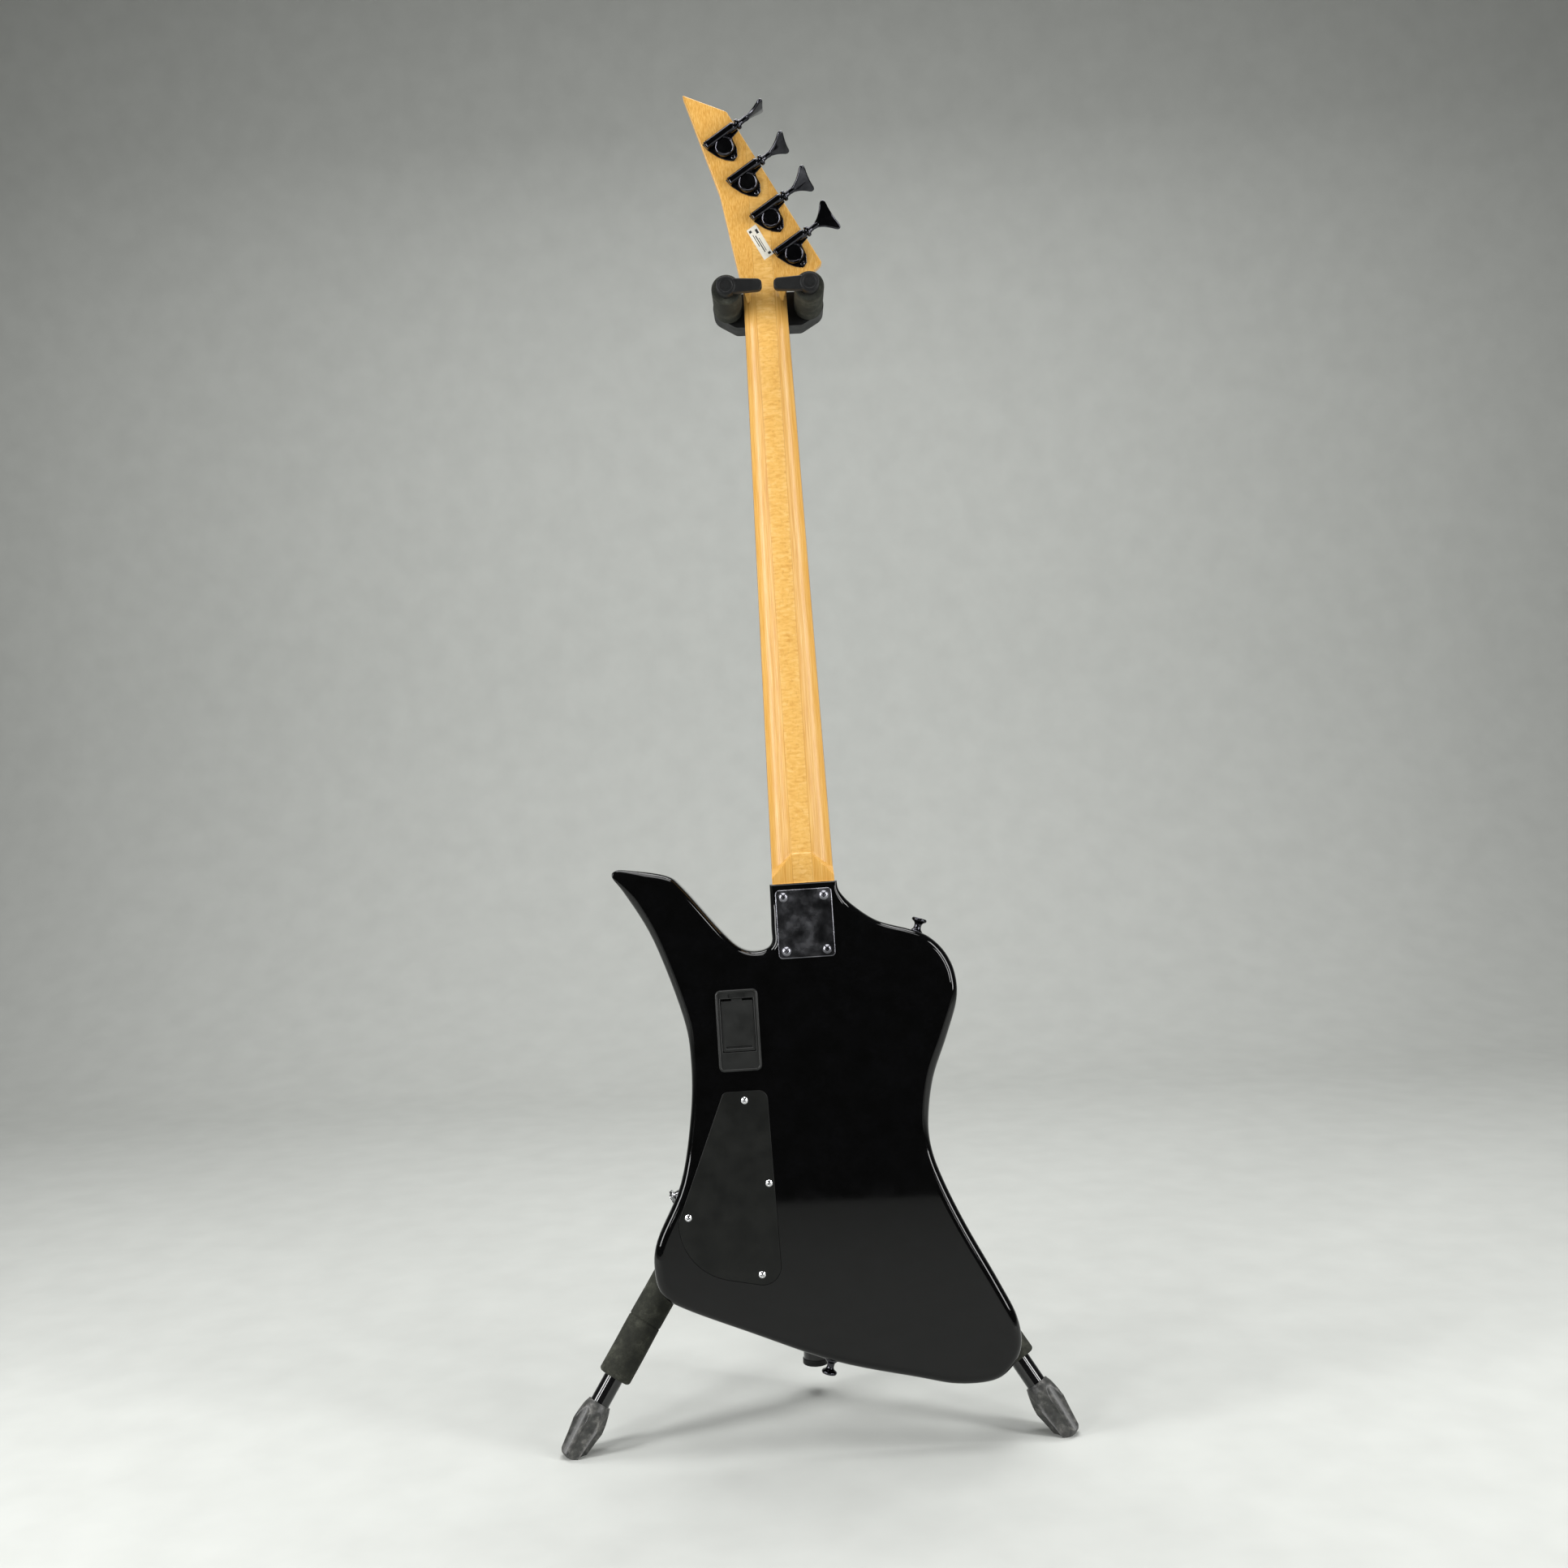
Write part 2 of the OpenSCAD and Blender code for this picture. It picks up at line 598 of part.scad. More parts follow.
module strings() {
  color("silver") hung() for (i = [0 : string_count - 1]) {
    r = string_radius[i];
    saddle = [string_x(i, string_gap_saddle), saddle_top, saddle_line];
    over_nut = [string_x(i, string_gap_nut), string_height + r + 0.1, 2.5];
    t = tuner_at(string_count - 1 - i);
    wrap = post_r + 0.35 + r;
    post_side = head_point(t[0] - wrap, t[1], 12);
    union() {
      rod([saddle[0], string_slot_y + 0.3 + r, saddle_line - 52], saddle + [0, 0, 0.4 * r], r, $fn = 8);
      rod(saddle - [0, 0, 0.4 * r], over_nut + [0, 0, 0.4 * r], r * 0.98, $fn = 8);
      rod(over_nut - [0, 0, 0.4 * r], post_side, r, $fn = 8);
      on_head() translate([t[0], 12 + 2.2 * r, t[1]]) rotate([90, 0, 0]) difference() {
        cylinder(h = 4.4 * r, r = wrap + 1.1 * r, $fn = 12);
        translate([0, 0, -1]) cylinder(h = 4.4 * r + 2, r = post_r + 0.35, $fn = 48);
      }
    }
  }
}

// ---- stand
module mast_lower() {
  color(stand_black) on_mast() difference() {
    translate([0, 0, 34]) cylinder(h = 416, r = mast_r);
    translate([0, 0, 33]) cylinder(h = 418, r = mast_r - 1.4);
  }
}
module mast_cap() {
  color("black") on_mast() union() {
    translate([0, 0, 28]) cylinder(h = 6, r = mast_r + 0.8);
    translate([0, 0, 33]) cylinder(h = 11, r = mast_r - 1.5);
  }
}
module mast_upper() {
  color(stand_black) on_mast() difference() {
    translate([0, 0, 180]) cylinder(h = 880, r = upper_r);
    translate([0, 0, 179]) cylinder(h = 882, r = upper_r - 1.2);
  }
}
module clutch_collar() {
  color("black") on_mast() difference() {
    union() {
      translate([0, 0, 418]) cylinder(h = 46, r = 18);
      translate([0, 14, 444]) rotate([-90, 0, 0]) cylinder(h = 10, r = 9);
    }
    translate([0, 0, 417]) cylinder(h = 33.1, r = mast_r + 0.02);
    translate([0, 0, 440]) cylinder(h = 30, r = 11.6);
    translate([0, 0, 444]) rotate([-90, 0, 0]) cylinder(h = 30, r = 3.05);
  }
}
module clutch_bush() {
  color("gray") on_mast() difference() {
    union() {
      translate([0, 0, 452]) cylinder(h = 14, r = 11.55);
      translate([0, 0, 464]) cylinder(h = 2.5, r = 14);
    }
    translate([0, 0, 451]) cylinder(h = 20, r = upper_r + slide_fit);
  }
}
// Clamping screw with its three-lobed grip.
module clutch_knob() {
  color("black") on_mast() translate([0, 0, 444]) union() {
    translate([0, 13.2, 0]) rotate([-90, 0, 0]) cylinder(h = 16, r = 3);
    translate([0, 24.4, 0]) rotate([-90, 0, 0]) cylinder(h = 14, r = 9);
    for (a = [90, 210, 330]) rotate([0, a, 0])
      translate([11, 27, 0]) rotate([-90, 0, 0]) cylinder(h = 9, r = 7);
  }
}
module leg_hub() {
  color("black") on_mast() difference() {
    union() {
      translate([0, 0, 300]) cylinder(h = 46, r = 19);
      for (a = leg_azimuths) rotate([0, 0, a])
        for (s = [-1, 1])
          translate([0, s * 12.4 - 2.2, 308]) cube([39, 4.4, 26]);
      for (a = leg_azimuths) rotate([0, 0, a])
        translate([15, -12, 336]) cube([9, 24, 10]);
    }
    translate([0, 0, 299]) cylinder(h = 48, r = mast_r + 0.02);
    for (a = leg_azimuths) rotate([0, 0, a])
      translate([leg_radius, -20, leg_pivot_z]) rotate([-90, 0, 0]) cylinder(h = 40, r = 3);
  }
}
module leg_pins() {
  color("silver") on_mast() for (a = leg_azimuths) rotate([0, 0, a])
    translate([leg_radius, -15.6, leg_pivot_z]) rotate([-90, 0, 0]) union() {
      cylinder(h = 31.2, r = 3);
      translate([0, 0, -1.4]) cylinder(h = 1.6, r = 5);
      translate([0, 0, 31]) cylinder(h = 1.6, r = 5);
    }
}
module leg(azimuth) {
  color(stand_black) on_leg(azimuth) difference() {
    union() {
      cylinder(h = leg_length, r = leg_d / 2);
      translate([0, 10, 0]) rotate([90, 0, 0]) cylinder(h = 20, r = leg_d / 2);
    }
    translate([0, 0, 14]) cylinder(h = leg_length, r = leg_d / 2 - 1.4);
    translate([0, 20, 0]) rotate([90, 0, 0]) cylinder(h = 40, r = 3 + slide_fit);
  }
}
module foam(azimuth) {
  color(foam_grey) on_leg(azimuth) difference() {
    translate([0, 0, foam_top]) cylinder(h = foam_end - foam_top, r = foam_d / 2);
    translate([0, 0, foam_top - 1]) cylinder(h = foam_end - foam_top + 2, r = leg_d / 2);
  }
}
// Rubber foot: a bullet turned about the leg and cut level with the floor.
module foot(azimuth) {
  flutes = 7;
  color([0.13, 0.13, 0.14]) difference() {
    on_leg(azimuth) difference() {
      rotate_extrude() polygon([
        [0, foot_top], [11.4, foot_top], [12, foot_top + 3], [14.4, foot_top + 16],
        [16.3, foot_top + 30], [16.7, foot_top + 41], [16, foot_top + 49], [13, foot_top + 55],
        [8, foot_top + 58.5], [0, foot_top + 60]
      ]);
      translate([0, 0, foot_top - 1]) cylinder(h = leg_length - foot_top + 1, r = leg_d / 2);
      for (k = [0 : flutes - 1]) rotate([0, 0, 360 * k / flutes])
        translate([23, 0, foot_top + 14]) rotate([0, -5, 0]) cylinder(h = 30, r = 7.5);
    }
    translate([-400, -400, -100]) cube([800, 800, 100]);
  }
}
// Socket on the mast's top, with the post that the yoke slides on.
module head_post() {
  color("black") on_mast() union() {
    translate([0, 0, 1040]) cylinder(h = 20, r = upper_r - 1.2);
    translate([0, 0, 1060]) cylinder(h = 18, r = 13);
    translate([0, 0, 1077.9]) cylinder(h = 56, r = 6);
    translate([0, 0, 1132]) cylinder(h = 4, r = 9);
  }
}
// Cross head and the two arms that carry the headstock.
module yoke() {
  half = gate_spacing / 2;
  color("black") on_mast() difference() {
    union() {
      translate([0, -18, 0]) slab(rounded([
        [-half + 7, gate_height - 18.6, 9], [half - 7, gate_height - 18.6, 9],
        [half + 16, gate_height - 5, 12], [half + 14, gate_height + 15, 9],
        [-half - 14, gate_height + 15, 9], [-half - 16, gate_height - 5, 12]
      ]), -20, 10);
      translate([0, 0, 1078.1]) cylinder(h = 40, r = 14.5);
      for (s = [-1, 1]) post_y(s * half, gate_height, arm_front, -30, 9);
    }
    translate([0, 0, 1070]) cylinder(h = 80, r = 6 + slide_fit);
    for (s = [-1, 1]) post_y(s * half, gate_height, arm_front - 1, -44, 3 + slide_fit);
  }
}
module arm_foam() {
  color(foam_grey) on_mast() for (s = [-1, 1]) difference() {
    post_y(s * gate_spacing / 2, gate_height, arm_front + 1, -38.1, 14.3);
    post_y(s * gate_spacing / 2, gate_height, arm_front - 1, -30, 9);
  }
}
// One gate: the finger that closes the yoke and its shaft in the arm. side is -1 or 1.
module gate(side) {
  color("black") on_mast() translate([side * gate_spacing / 2, 0, gate_height]) union() {
    post_y(0, 0, gate_plane + 1.4, -46, 3);
    post_y(0, 0, gate_plane - gate_thick, gate_plane + 1.5, 9.5);
    slab(rounded([[0, -7.6, 0], [-side * 26, -6, 4], [-side * 34.5, -5.2, 4.6],
      [-side * 34.5, 5.2, 4.6], [-side * 26, 6, 4], [0, 7.6, 0]]), gate_plane - gate_thick, gate_plane);
  }
}
module gate_left() { gate(-1); }
module gate_right() { gate(1); }

guitar_body();
neck();
fretboard();
frets();
nut();
truss_rod();
truss_rod_cover();
neck_plate();
neck_screws();
tuner_housings();
tuner_screws();
tuner_key(0);  // tuner_key_1
tuner_key(1);  // tuner_key_2
tuner_key(2);  // tuner_key_3
tuner_key(3);  // tuner_key_4
tuner_post(0);  // tuner_post_1
tuner_post(1);  // tuner_post_2
tuner_post(2);  // tuner_post_3
tuner_post(3);  // tuner_post_4
bridge_plate();
bridge_saddles();
bridge_screws();
pickup_front();
pickup_rear();
pickup_screws();
knob(0);  // knob_1
knob(1);  // knob_2
knob(2);  // knob_3
pots();
preamp_board();
output_jack();
battery_box();
battery_door();
battery();
control_cover();
cover_screws();
strap_buttons();
strap_screws();
strings();
mast_lower();
mast_cap();
mast_upper();
clutch_collar();
clutch_bush();
clutch_knob();
leg_hub();
leg_pins();
leg(-150);  // leg_left
leg(-30);  // leg_right
leg(90);  // leg_rear
foam(-150);  // foam_left
foam(-30);  // foam_right
foot(-150);  // foot_left
foot(-30);  // foot_right
foot(90);  // foot_rear
head_post();
yoke();
arm_foam();
gate_left();
gate_right();
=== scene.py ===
"""Four-string bass hanging by its headstock in the closing yoke of a tripod stand.

Shapes are surfaces worked out in millimetres in the instrument's, the headstock's, the mast's or a
leg's own frame, and then placed in the shared frame, in metres.
"""

import json
import math

import bmesh
import bpy
import numpy as np
from mathutils import Matrix, Vector
from mathutils.geometry import tessellate_polygon


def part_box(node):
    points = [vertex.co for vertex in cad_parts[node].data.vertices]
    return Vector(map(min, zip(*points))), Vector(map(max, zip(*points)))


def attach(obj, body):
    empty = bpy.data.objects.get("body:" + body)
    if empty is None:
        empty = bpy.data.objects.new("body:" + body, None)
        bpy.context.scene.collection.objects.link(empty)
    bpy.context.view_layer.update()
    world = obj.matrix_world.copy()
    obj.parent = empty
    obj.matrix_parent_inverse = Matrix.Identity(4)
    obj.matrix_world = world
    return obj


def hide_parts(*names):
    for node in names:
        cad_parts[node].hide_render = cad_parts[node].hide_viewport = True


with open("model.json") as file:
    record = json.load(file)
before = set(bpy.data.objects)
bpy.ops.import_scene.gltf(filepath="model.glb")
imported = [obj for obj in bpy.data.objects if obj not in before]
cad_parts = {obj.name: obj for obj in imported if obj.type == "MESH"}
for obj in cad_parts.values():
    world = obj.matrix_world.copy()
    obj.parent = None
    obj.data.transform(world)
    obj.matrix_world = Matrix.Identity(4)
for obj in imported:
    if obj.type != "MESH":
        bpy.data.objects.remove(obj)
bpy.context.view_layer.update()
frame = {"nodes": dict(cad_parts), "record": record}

bl_info = {
    "name": "Bass on Stand",
    "version": (1, 0, 0),
    "blender": (4, 5, 0),
    "location": "3D View > Sidebar > Bass",
    "description": "Builds the visible surfaces of a hanging four-string bass and its tripod stand",
    "category": "Add Mesh",
}

MM = 0.001
BODY_OF = {
    node: body
    for body, nodes in frame["record"]["behaviour"]["bodies"].items()
    for node in nodes
}


# ---- frames: each is a 4 x 4 matrix from its own millimetres to the shared frame's
def shift(x, y, z):
    """Matrix that moves by x, y and z."""
    return np.array(Matrix.Translation((x, y, z)))


def turn(axis, degrees):
    """Matrix that turns about "X", "Y" or "Z"."""
    return np.array(Matrix.Rotation(math.radians(degrees), 4, axis))


def middle(node):
    """Centre of a CAD node's box, in millimetres."""
    low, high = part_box(node)
    return (np.array(low) + np.array(high)) / 2 / MM


MAST_X, MAST_Y, _ = middle("mast_lower")
MAST = shift(MAST_X, MAST_Y, 0)
NUT = (-3, -48, 1106)
LEAN, TIP = 3.9, 1.1
HUNG = MAST @ shift(*NUT) @ turn("X", -LEAN) @ turn("Y", -TIP)
HEAD_ANGLE, HEAD_STEP, HEAD_THICK = 9, -3, 15
HEAD = HUNG @ shift(0, HEAD_STEP, 0) @ turn("X", HEAD_ANGLE)
LEG_RADIUS, LEG_PIVOT, LEG_ANGLE = 30, 321, 37
LEG_AZIMUTHS = {"left": -150, "right": -30, "rear": 90}


def leg_frame(azimuth):
    """z runs down the leg from its pivot and x lies in the leg's upright plane."""
    return MAST @ turn("Z", azimuth) @ shift(LEG_RADIUS, 0, LEG_PIVOT) @ turn("Y", 180 - LEG_ANGLE)


# ---- sizes of the instrument, as in the CAD model
SCALE = 864
BODY_FRONT, BODY_BACK = -10, -52
BOARD_THICK, BOARD_END = 6, -652
POCKET_TOP, HEEL_END = -582, -656
STRING_RADII = (1.3, 1.05, 0.8, 0.55)
NUT_GAP, SADDLE_GAP = 10, 19
SADDLE_TOP, STRING_SLOT = 3.2, 0.2
POST_RADIUS = 5
TUNER_FIRST, TUNER_PITCH, TUNER_ROW = np.array([31, 35.5]), 40.6, 120.2
KEY_ANGLE, WORM_DEPTH, WORM_OFFSET = 32, -6.2, 9
KEY_TURN = (10, 50, 65, 88)
GATE_HEIGHT, GATE_HALF, GATE_PLANE, GATE_THICK = 1099, 40, -106.6, 9
PLATE_CENTRE, NECK_BOLTS = (-1, -620), (19, 25.2)
BATTERY = (-69.5, -715)
COVER_SCREWS = ((-68, -780), (-50, -857), (-126.5, -884), (-61.5, -939.5))
STRAP_PLACES = ((103.5, -635.5, 71), (-2.5, -1025.5, -105))
PICKUP_LINES = (-722, -806)
DOT_FRETS, DOT_RADIUS = (3, 5, 7, 9, 15, 17, 19, 21), 3.2
BOARD_ROUND = 305

OUTLINE_MARKS = np.array([
    (31, -582), (33, -592), (45, -606), (67, -622), (97, -632), (114, -640), (128, -655),
    (136, -675), (136, -700), (124, -734), (109, -771), (102, -808), (103, -836), (112, -866),
    (130, -908), (157, -962), (171, -994), (173, -1020), (163, -1039), (145, -1050),
    (112, -1051), (76, -1043), (1, -1024), (-76, -993), (-135, -968), (-155, -954),
    (-161, -932), (-157, -904), (-132, -853), (-119, -790), (-116, -740), (-121, -699),
    (-144, -628), (-168, -583), (-179, -566), (-176, -560), (-165, -560), (-130, -567),
    (-114, -580), (-80, -623), (-62, -640), (-45, -643), (-34, -637), (-33, -620), (-32, -582),
], float)
HORN_TIP = np.array([-179, -566])
COVER_CORNERS = (
    (-87.5, -771, 6), (-46, -771, 9), (-43, -953, 17), (-135.5, -934, 54), (-136, -887, 5),
)
HEAD_CORNERS = (
    (-18, -8, 0), (-21.6, 5, 8), (-26, 29, 30), (-38, 98, 0), (-68, 193, 0.6),
    (-26, 175, 6), (58, 26, 2), (47, 16.5, 3), (30, 13, 9), (21.6, 3, 5), (18, -8, 0),
)

# ---- sizes of a leg's foam and foot: the bore, and distances down the leg from its pivot
LEG_BORE = 9.55
FOAM_TOP, FOAM_END, FOAM_SEAM = 70, 322, 264
FOOT_TOP = 348

# ---- the stage: metres, degrees and watts
CAMERA_X, CAMERA_AWAY, CAMERA_HEIGHT = -0.006, 1.612, 0.622
CAMERA_ROLL, LENS_MM = 2.6, 36.09
LIGHTS = (
    # name, place, width, height, power
    ("left", (-1.45, -0.75, 1.05), 0.35, 1.5, 22),
    ("right", (1.5, -0.85, 1.05), 0.35, 1.5, 20),
    ("front_left", (-1.9, -2.5, 1.3), 0.4, 1.3, 26),
    ("front_right", (2.0, -2.5, 1.2), 0.4, 1.3, 20),
    ("top", (0.1, -0.3, 2.7), 1.9, 1.3, 34),
    ("backdrop", (0, 0.9, 3.0), 2.6, 0.6, 40),
)


# ---- sizes of the instrument that follow a rule
def neck_half(z):
    """Half the neck's width, which grows from the nut down."""
    return (42.6 + 0.0296 * np.abs(z)) / 2


def fret_z(n):
    """Height of fret n: each divides the length left to the saddles by the twelfth root of two."""
    return -SCALE * (1 - 2 ** (-n / 12))


def tuner_at(i):
    """Where tuner i's post stands on the headstock, as (x, z)."""
    row = math.radians(TUNER_ROW)
    return TUNER_FIRST + i * TUNER_PITCH * np.array([math.cos(row), math.sin(row)])


# ---- outlines: arrays of (x, z)
SQUARE = ((-1, -1), (1, -1), (1, 1), (-1, 1))


def smooth(marks, steps):
    """Catmull-Rom curve through the marks: a cubic in t between neighbours, end marks doubled."""
    p = np.vstack([marks[:1], marks, marks[-1:]])
    a, b, c, d = (p[k : len(p) - 3 + k, None] for k in range(4))
    t = (np.arange(steps) / steps)[None, :, None]
    curve = 0.5 * (
        2 * b + (c - a) * t + (2 * a - 5 * b + 4 * c - d) * t**2 + (3 * b - a - 3 * c + d) * t**3
    )
    return np.vstack([curve.reshape(-1, p.shape[1]), marks[-1:]])


def rounded(corners, steps=6):
    """Straight lines between corners (x, z, radius), each corner an arc that touches both lines."""
    points = []
    for i, corner in enumerate(corners):
        here = np.array(corner[:2], float)
        if not corner[2]:
            points.append(here[None])
            continue
        to_last = np.array(corners[i - 1][:2]) - here
        to_next = np.array(corners[(i + 1) % len(corners)][:2]) - here
        to_last, to_next = to_last / np.linalg.norm(to_last), to_next / np.linalg.norm(to_next)
        half = math.acos(float(np.clip(to_last @ to_next, -1, 1))) / 2
        middle_way = (to_last + to_next) / np.linalg.norm(to_last + to_next)
        centre = here + middle_way * corner[2] / math.sin(half)
        start = here + to_last * corner[2] / math.tan(half) - centre
        end = here + to_next * corner[2] / math.tan(half) - centre
        first = math.atan2(start[1], start[0])
        sweep = (math.atan2(end[1], end[0]) - first + math.pi) % math.tau - math.pi
        angles = first + sweep * np.linspace(0, 1, steps + 1)
        points.append(centre + corner[2] * np.stack([np.cos(angles), np.sin(angles)], 1))
    return np.vstack(points)


def oblong(x, z, half_x, half_z, radius, steps=6):
    """A rectangle about (x, z) with round corners."""
    corners = [(x + sx * half_x, z + sz * half_z, radius) for sx, sz in SQUARE]
    return rounded(corners, steps)


def pulled_in(outline, distance):
    """Moves each point inwards along its mitre, so that both its sides move by the distance."""
    x, z = outline.T
    area = np.sum(x * np.roll(z, -1) - np.roll(x, -1) * z)
    side = np.roll(outline, -1, 0) - outline
    side = side / np.maximum(np.linalg.norm(side, axis=1, keepdims=True), 1e-9)
    normal = np.stack([side[:, 1], -side[:, 0]], 1) * np.sign(area)
    before = np.roll(normal, 1, 0)
    agree = np.maximum(1 + np.sum(normal * before, 1, keepdims=True), 0.6)
    return outline - (normal + before) / agree * np.reshape(distance, (-1, 1))


# ---- shapes: each is (points, faces) in millimetres
def grid_faces(rows, columns, closed_rows=False, closed_columns=False):
    """Quads between neighbours on a grid; where closed, the last row or column joins the first."""
    r = np.arange(rows if closed_rows else rows - 1)
    c = np.arange(columns if closed_columns else columns - 1)
    r, c = np.meshgrid(r, c, indexing="ij")
    next_r, next_c = (r + 1) % rows, (c + 1) % columns
    quads = [r * columns + c, r * columns + next_c, next_r * columns + next_c, next_r * columns + c]
    return np.stack(quads, -1).reshape(-1, 4).tolist()


def capped(rows, columns):
    """Faces of a row of rings, one ring to a row, with a face across each end."""
    ends = [list(range(columns)), list(range((rows - 1) * columns, rows * columns))]
    return grid_faces(rows, columns, closed_columns=True) + ends


def join(*shapes):
    """Several shapes as one."""
    points, faces, count = [], [], 0
    for some, their_faces in shapes:
        points.append(some)
        faces += [[count + k for k in face] for face in their_faces]
        count += len(some)
    return np.vstack(points), faces


def moved(shape, matrix):
    """The shape carried by the matrix."""
    points, faces = shape
    return points @ matrix[:3, :3].T + matrix[:3, 3], faces


def flat_face(loops, y):
    """A flat face at height y inside the first loop and outside the others."""
    flat = np.vstack(loops)
    points = np.insert(flat, 1, y, axis=1)
    faces = tessellate_polygon([[(x, z, 0) for x, z in loop] for loop in loops])
    return points, [list(face) for face in faces]


def stack(outlines, heights):
    """One outline for each height y, joined to the next by a wall."""
    rows = [np.insert(outline, 1, y, axis=1) for outline, y in zip(outlines, heights)]
    return np.vstack(rows), grid_faces(len(rows), len(rows[0]), closed_columns=True)


def bead(outline, y, radius, sides=12):
    """A round cord of the given radius laid along the outline at height y."""
    angle = np.arange(sides) * math.tau / sides
    rows = [
        np.insert(pulled_in(outline, radius * math.cos(a)), 1, y + radius * math.sin(a), 1)
        for a in angle
    ]
    return np.vstack(rows), grid_faces(sides, len(outline), True, True)


def slab(outline, low, high, edge, steps=5, wells=()):
    """The outline carried from y = low to high. By each face it is pulled in by
    edge * (1 - sin t) at edge * (1 - cos t) from the face, t from 0 to 90 degrees: a quarter round.
    Each well is (outline, depth), sunk into the low face."""
    edge = np.asarray(edge, float)
    t = np.linspace(0, math.pi / 2, steps + 1)
    pulls = [edge * 1.04 + 0.15] + [edge * (1 - math.sin(a)) for a in t]
    rises = [0.0] + [(1 - math.cos(a)) * edge for a in t]
    rings, heights = [], []
    for pull, rise in zip(pulls, rises):
        rings.append(pulled_in(outline, pull))
        heights.append(low + rise)
    for pull, rise in zip(pulls[::-1], rises[::-1]):
        rings.append(pulled_in(outline, pull))
        heights.append(high - rise)
    sunk = []
    for well, depth in wells:
        floor = pulled_in(well, 0.3)
        sunk.append(stack([well, floor, floor], [low, low + 0.3, low + depth]))
        sunk.append(flat_face([floor], low + depth))
    return join(
        stack(rings, heights),
        flat_face([rings[0]] + [well for well, _ in wells], low),
        flat_face([rings[-1]], high),
        *sunk,
    )


def lathe(profile, sides=48):
    """A profile of (radius, height) turned about z."""
    profile = np.asarray(profile, float)
    angle = np.arange(sides) * math.tau / sides
    radius, height = profile[:, :1], profile[:, 1:]
    points = np.stack([radius * np.cos(angle), radius * np.sin(angle), height + 0 * angle], -1)
    return points.reshape(-1, 3), grid_faces(len(profile), sides, closed_columns=True)


def tube(path, radius, sides, reference):
    """A circle of the given radius carried along a path, steered by the reference direction."""
    tangent = np.gradient(path, axis=0)
    tangent /= np.linalg.norm(tangent, axis=1, keepdims=True)
    across = np.cross(tangent, reference)
    across /= np.linalg.norm(across, axis=1, keepdims=True)
    up = np.cross(across, tangent)
    angle = (np.arange(sides) * math.tau / sides)[None, :, None]
    ring = path[:, None] + radius * (across[:, None] * np.cos(angle) + up[:, None] * np.sin(angle))
    return ring.reshape(-1, 3), capped(len(path), sides)


def screw(head, dome, shank, length, recess=True):
    """A dome head, height dome * (1 - rho^2), with a cross sunk into it, and its shank below.
    The cross is deep where the smaller of |x| and |y| is under its half width."""
    sides = 64
    rho = np.linspace(0, 1, 13)[:, None]
    angle = (np.arange(sides) * math.tau / sides)[None]
    x, y = head * rho * np.cos(angle), head * rho * np.sin(angle)
    height = dome * (1 - rho**2) + 0 * angle
    if recess:
        arm, reach, soft = 0.13 * head, 0.52 * head, 0.1 * head
        inside = np.clip((arm - np.minimum(abs(x), abs(y))) / soft + 0.5, 0, 1)
        inside *= np.clip((reach - np.maximum(abs(x), abs(y))) / soft, 0, 1)
        height = height - 0.42 * head * inside
    top = np.stack([x, y, height], -1).reshape(-1, 3)
    below = lathe([
        (head, 0), (head, -0.2), (shank, -0.2), (shank, 2 - length), (0.1, -length), (0, -length),
    ], sides)
    return join((top, grid_faces(len(rho), sides, closed_columns=True)), below)


# ---- objects
def piece(name, shape, place, look, *nodes, like=None, sharp=40):
    """A finished object from a shape in the given frame. It stands for the nodes named, and takes
    its body from the first of them, or from the node named by like."""
    points, faces = moved(shape, place)
    mesh = bpy.data.meshes.new(name)
    mesh.from_pydata((points * MM).tolist(), [], faces)
    shell = bmesh.new()
    shell.from_mesh(mesh)
    bmesh.ops.remove_doubles(shell, verts=shell.verts, dist=2e-6)
    bmesh.ops.dissolve_degenerate(shell, dist=1e-6, edges=shell.edges)
    bmesh.ops.recalc_face_normals(shell, faces=shell.faces)
    shell.to_mesh(mesh)
    shell.free()
    return settle(name, mesh, look, nodes, like or nodes[0], sharp)


def settle(name, mesh, look, nodes, like, sharp):
    """Links the mesh as an object with its finish and body."""
    mesh.polygons.foreach_set("use_smooth", np.ones(len(mesh.polygons), bool))
    mesh.set_sharp_from_angle(angle=math.radians(sharp))
    mesh.materials.append(look)
    thing = bpy.data.objects.new(name, mesh)
    bpy.context.scene.collection.objects.link(thing)
    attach(thing, BODY_OF[like])
    if nodes:
        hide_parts(*nodes)
    return thing


def soften(node, look, width=0.6, segments=2):
    """A copy of a CAD node, its doubles merged, its flat faces joined and its edges bevelled."""
    shell = bmesh.new()
    shell.from_mesh(frame["nodes"][node].data)
    bmesh.ops.remove_doubles(shell, verts=shell.verts, dist=1e-6)
    bmesh.ops.dissolve_limit(
        shell, angle_limit=math.radians(0.3), verts=shell.verts, edges=shell.edges)
    points = [tuple(v.co) for v in shell.verts]
    faces = [[v.index for v in face.verts] for face in shell.faces]
    shell.free()
    mesh = bpy.data.meshes.new(f"{node}_finished")
    mesh.from_pydata(points, [], faces)
    thing = settle(f"{node}_finished", mesh, look, (node,), node, 30)
    bevel = thing.modifiers.new("edges", "BEVEL")
    bevel.width = width * MM
    bevel.segments = segments
    bevel.limit_method = "ANGLE"
    bevel.angle_limit = math.radians(30)
    bevel.harden_normals = True
    return thing


# ---- materials
def linear(hex_colour):
    """An sRGB hex colour as linear red, green, blue and one for alpha."""
    srgb = np.array([int(hex_colour[k : k + 2], 16) for k in (1, 3, 5)]) / 255
    rgb = np.where(srgb <= 0.04045, srgb / 12.92, ((srgb + 0.055) / 1.055) ** 2.4)
    return (*rgb.tolist(), 1.0)


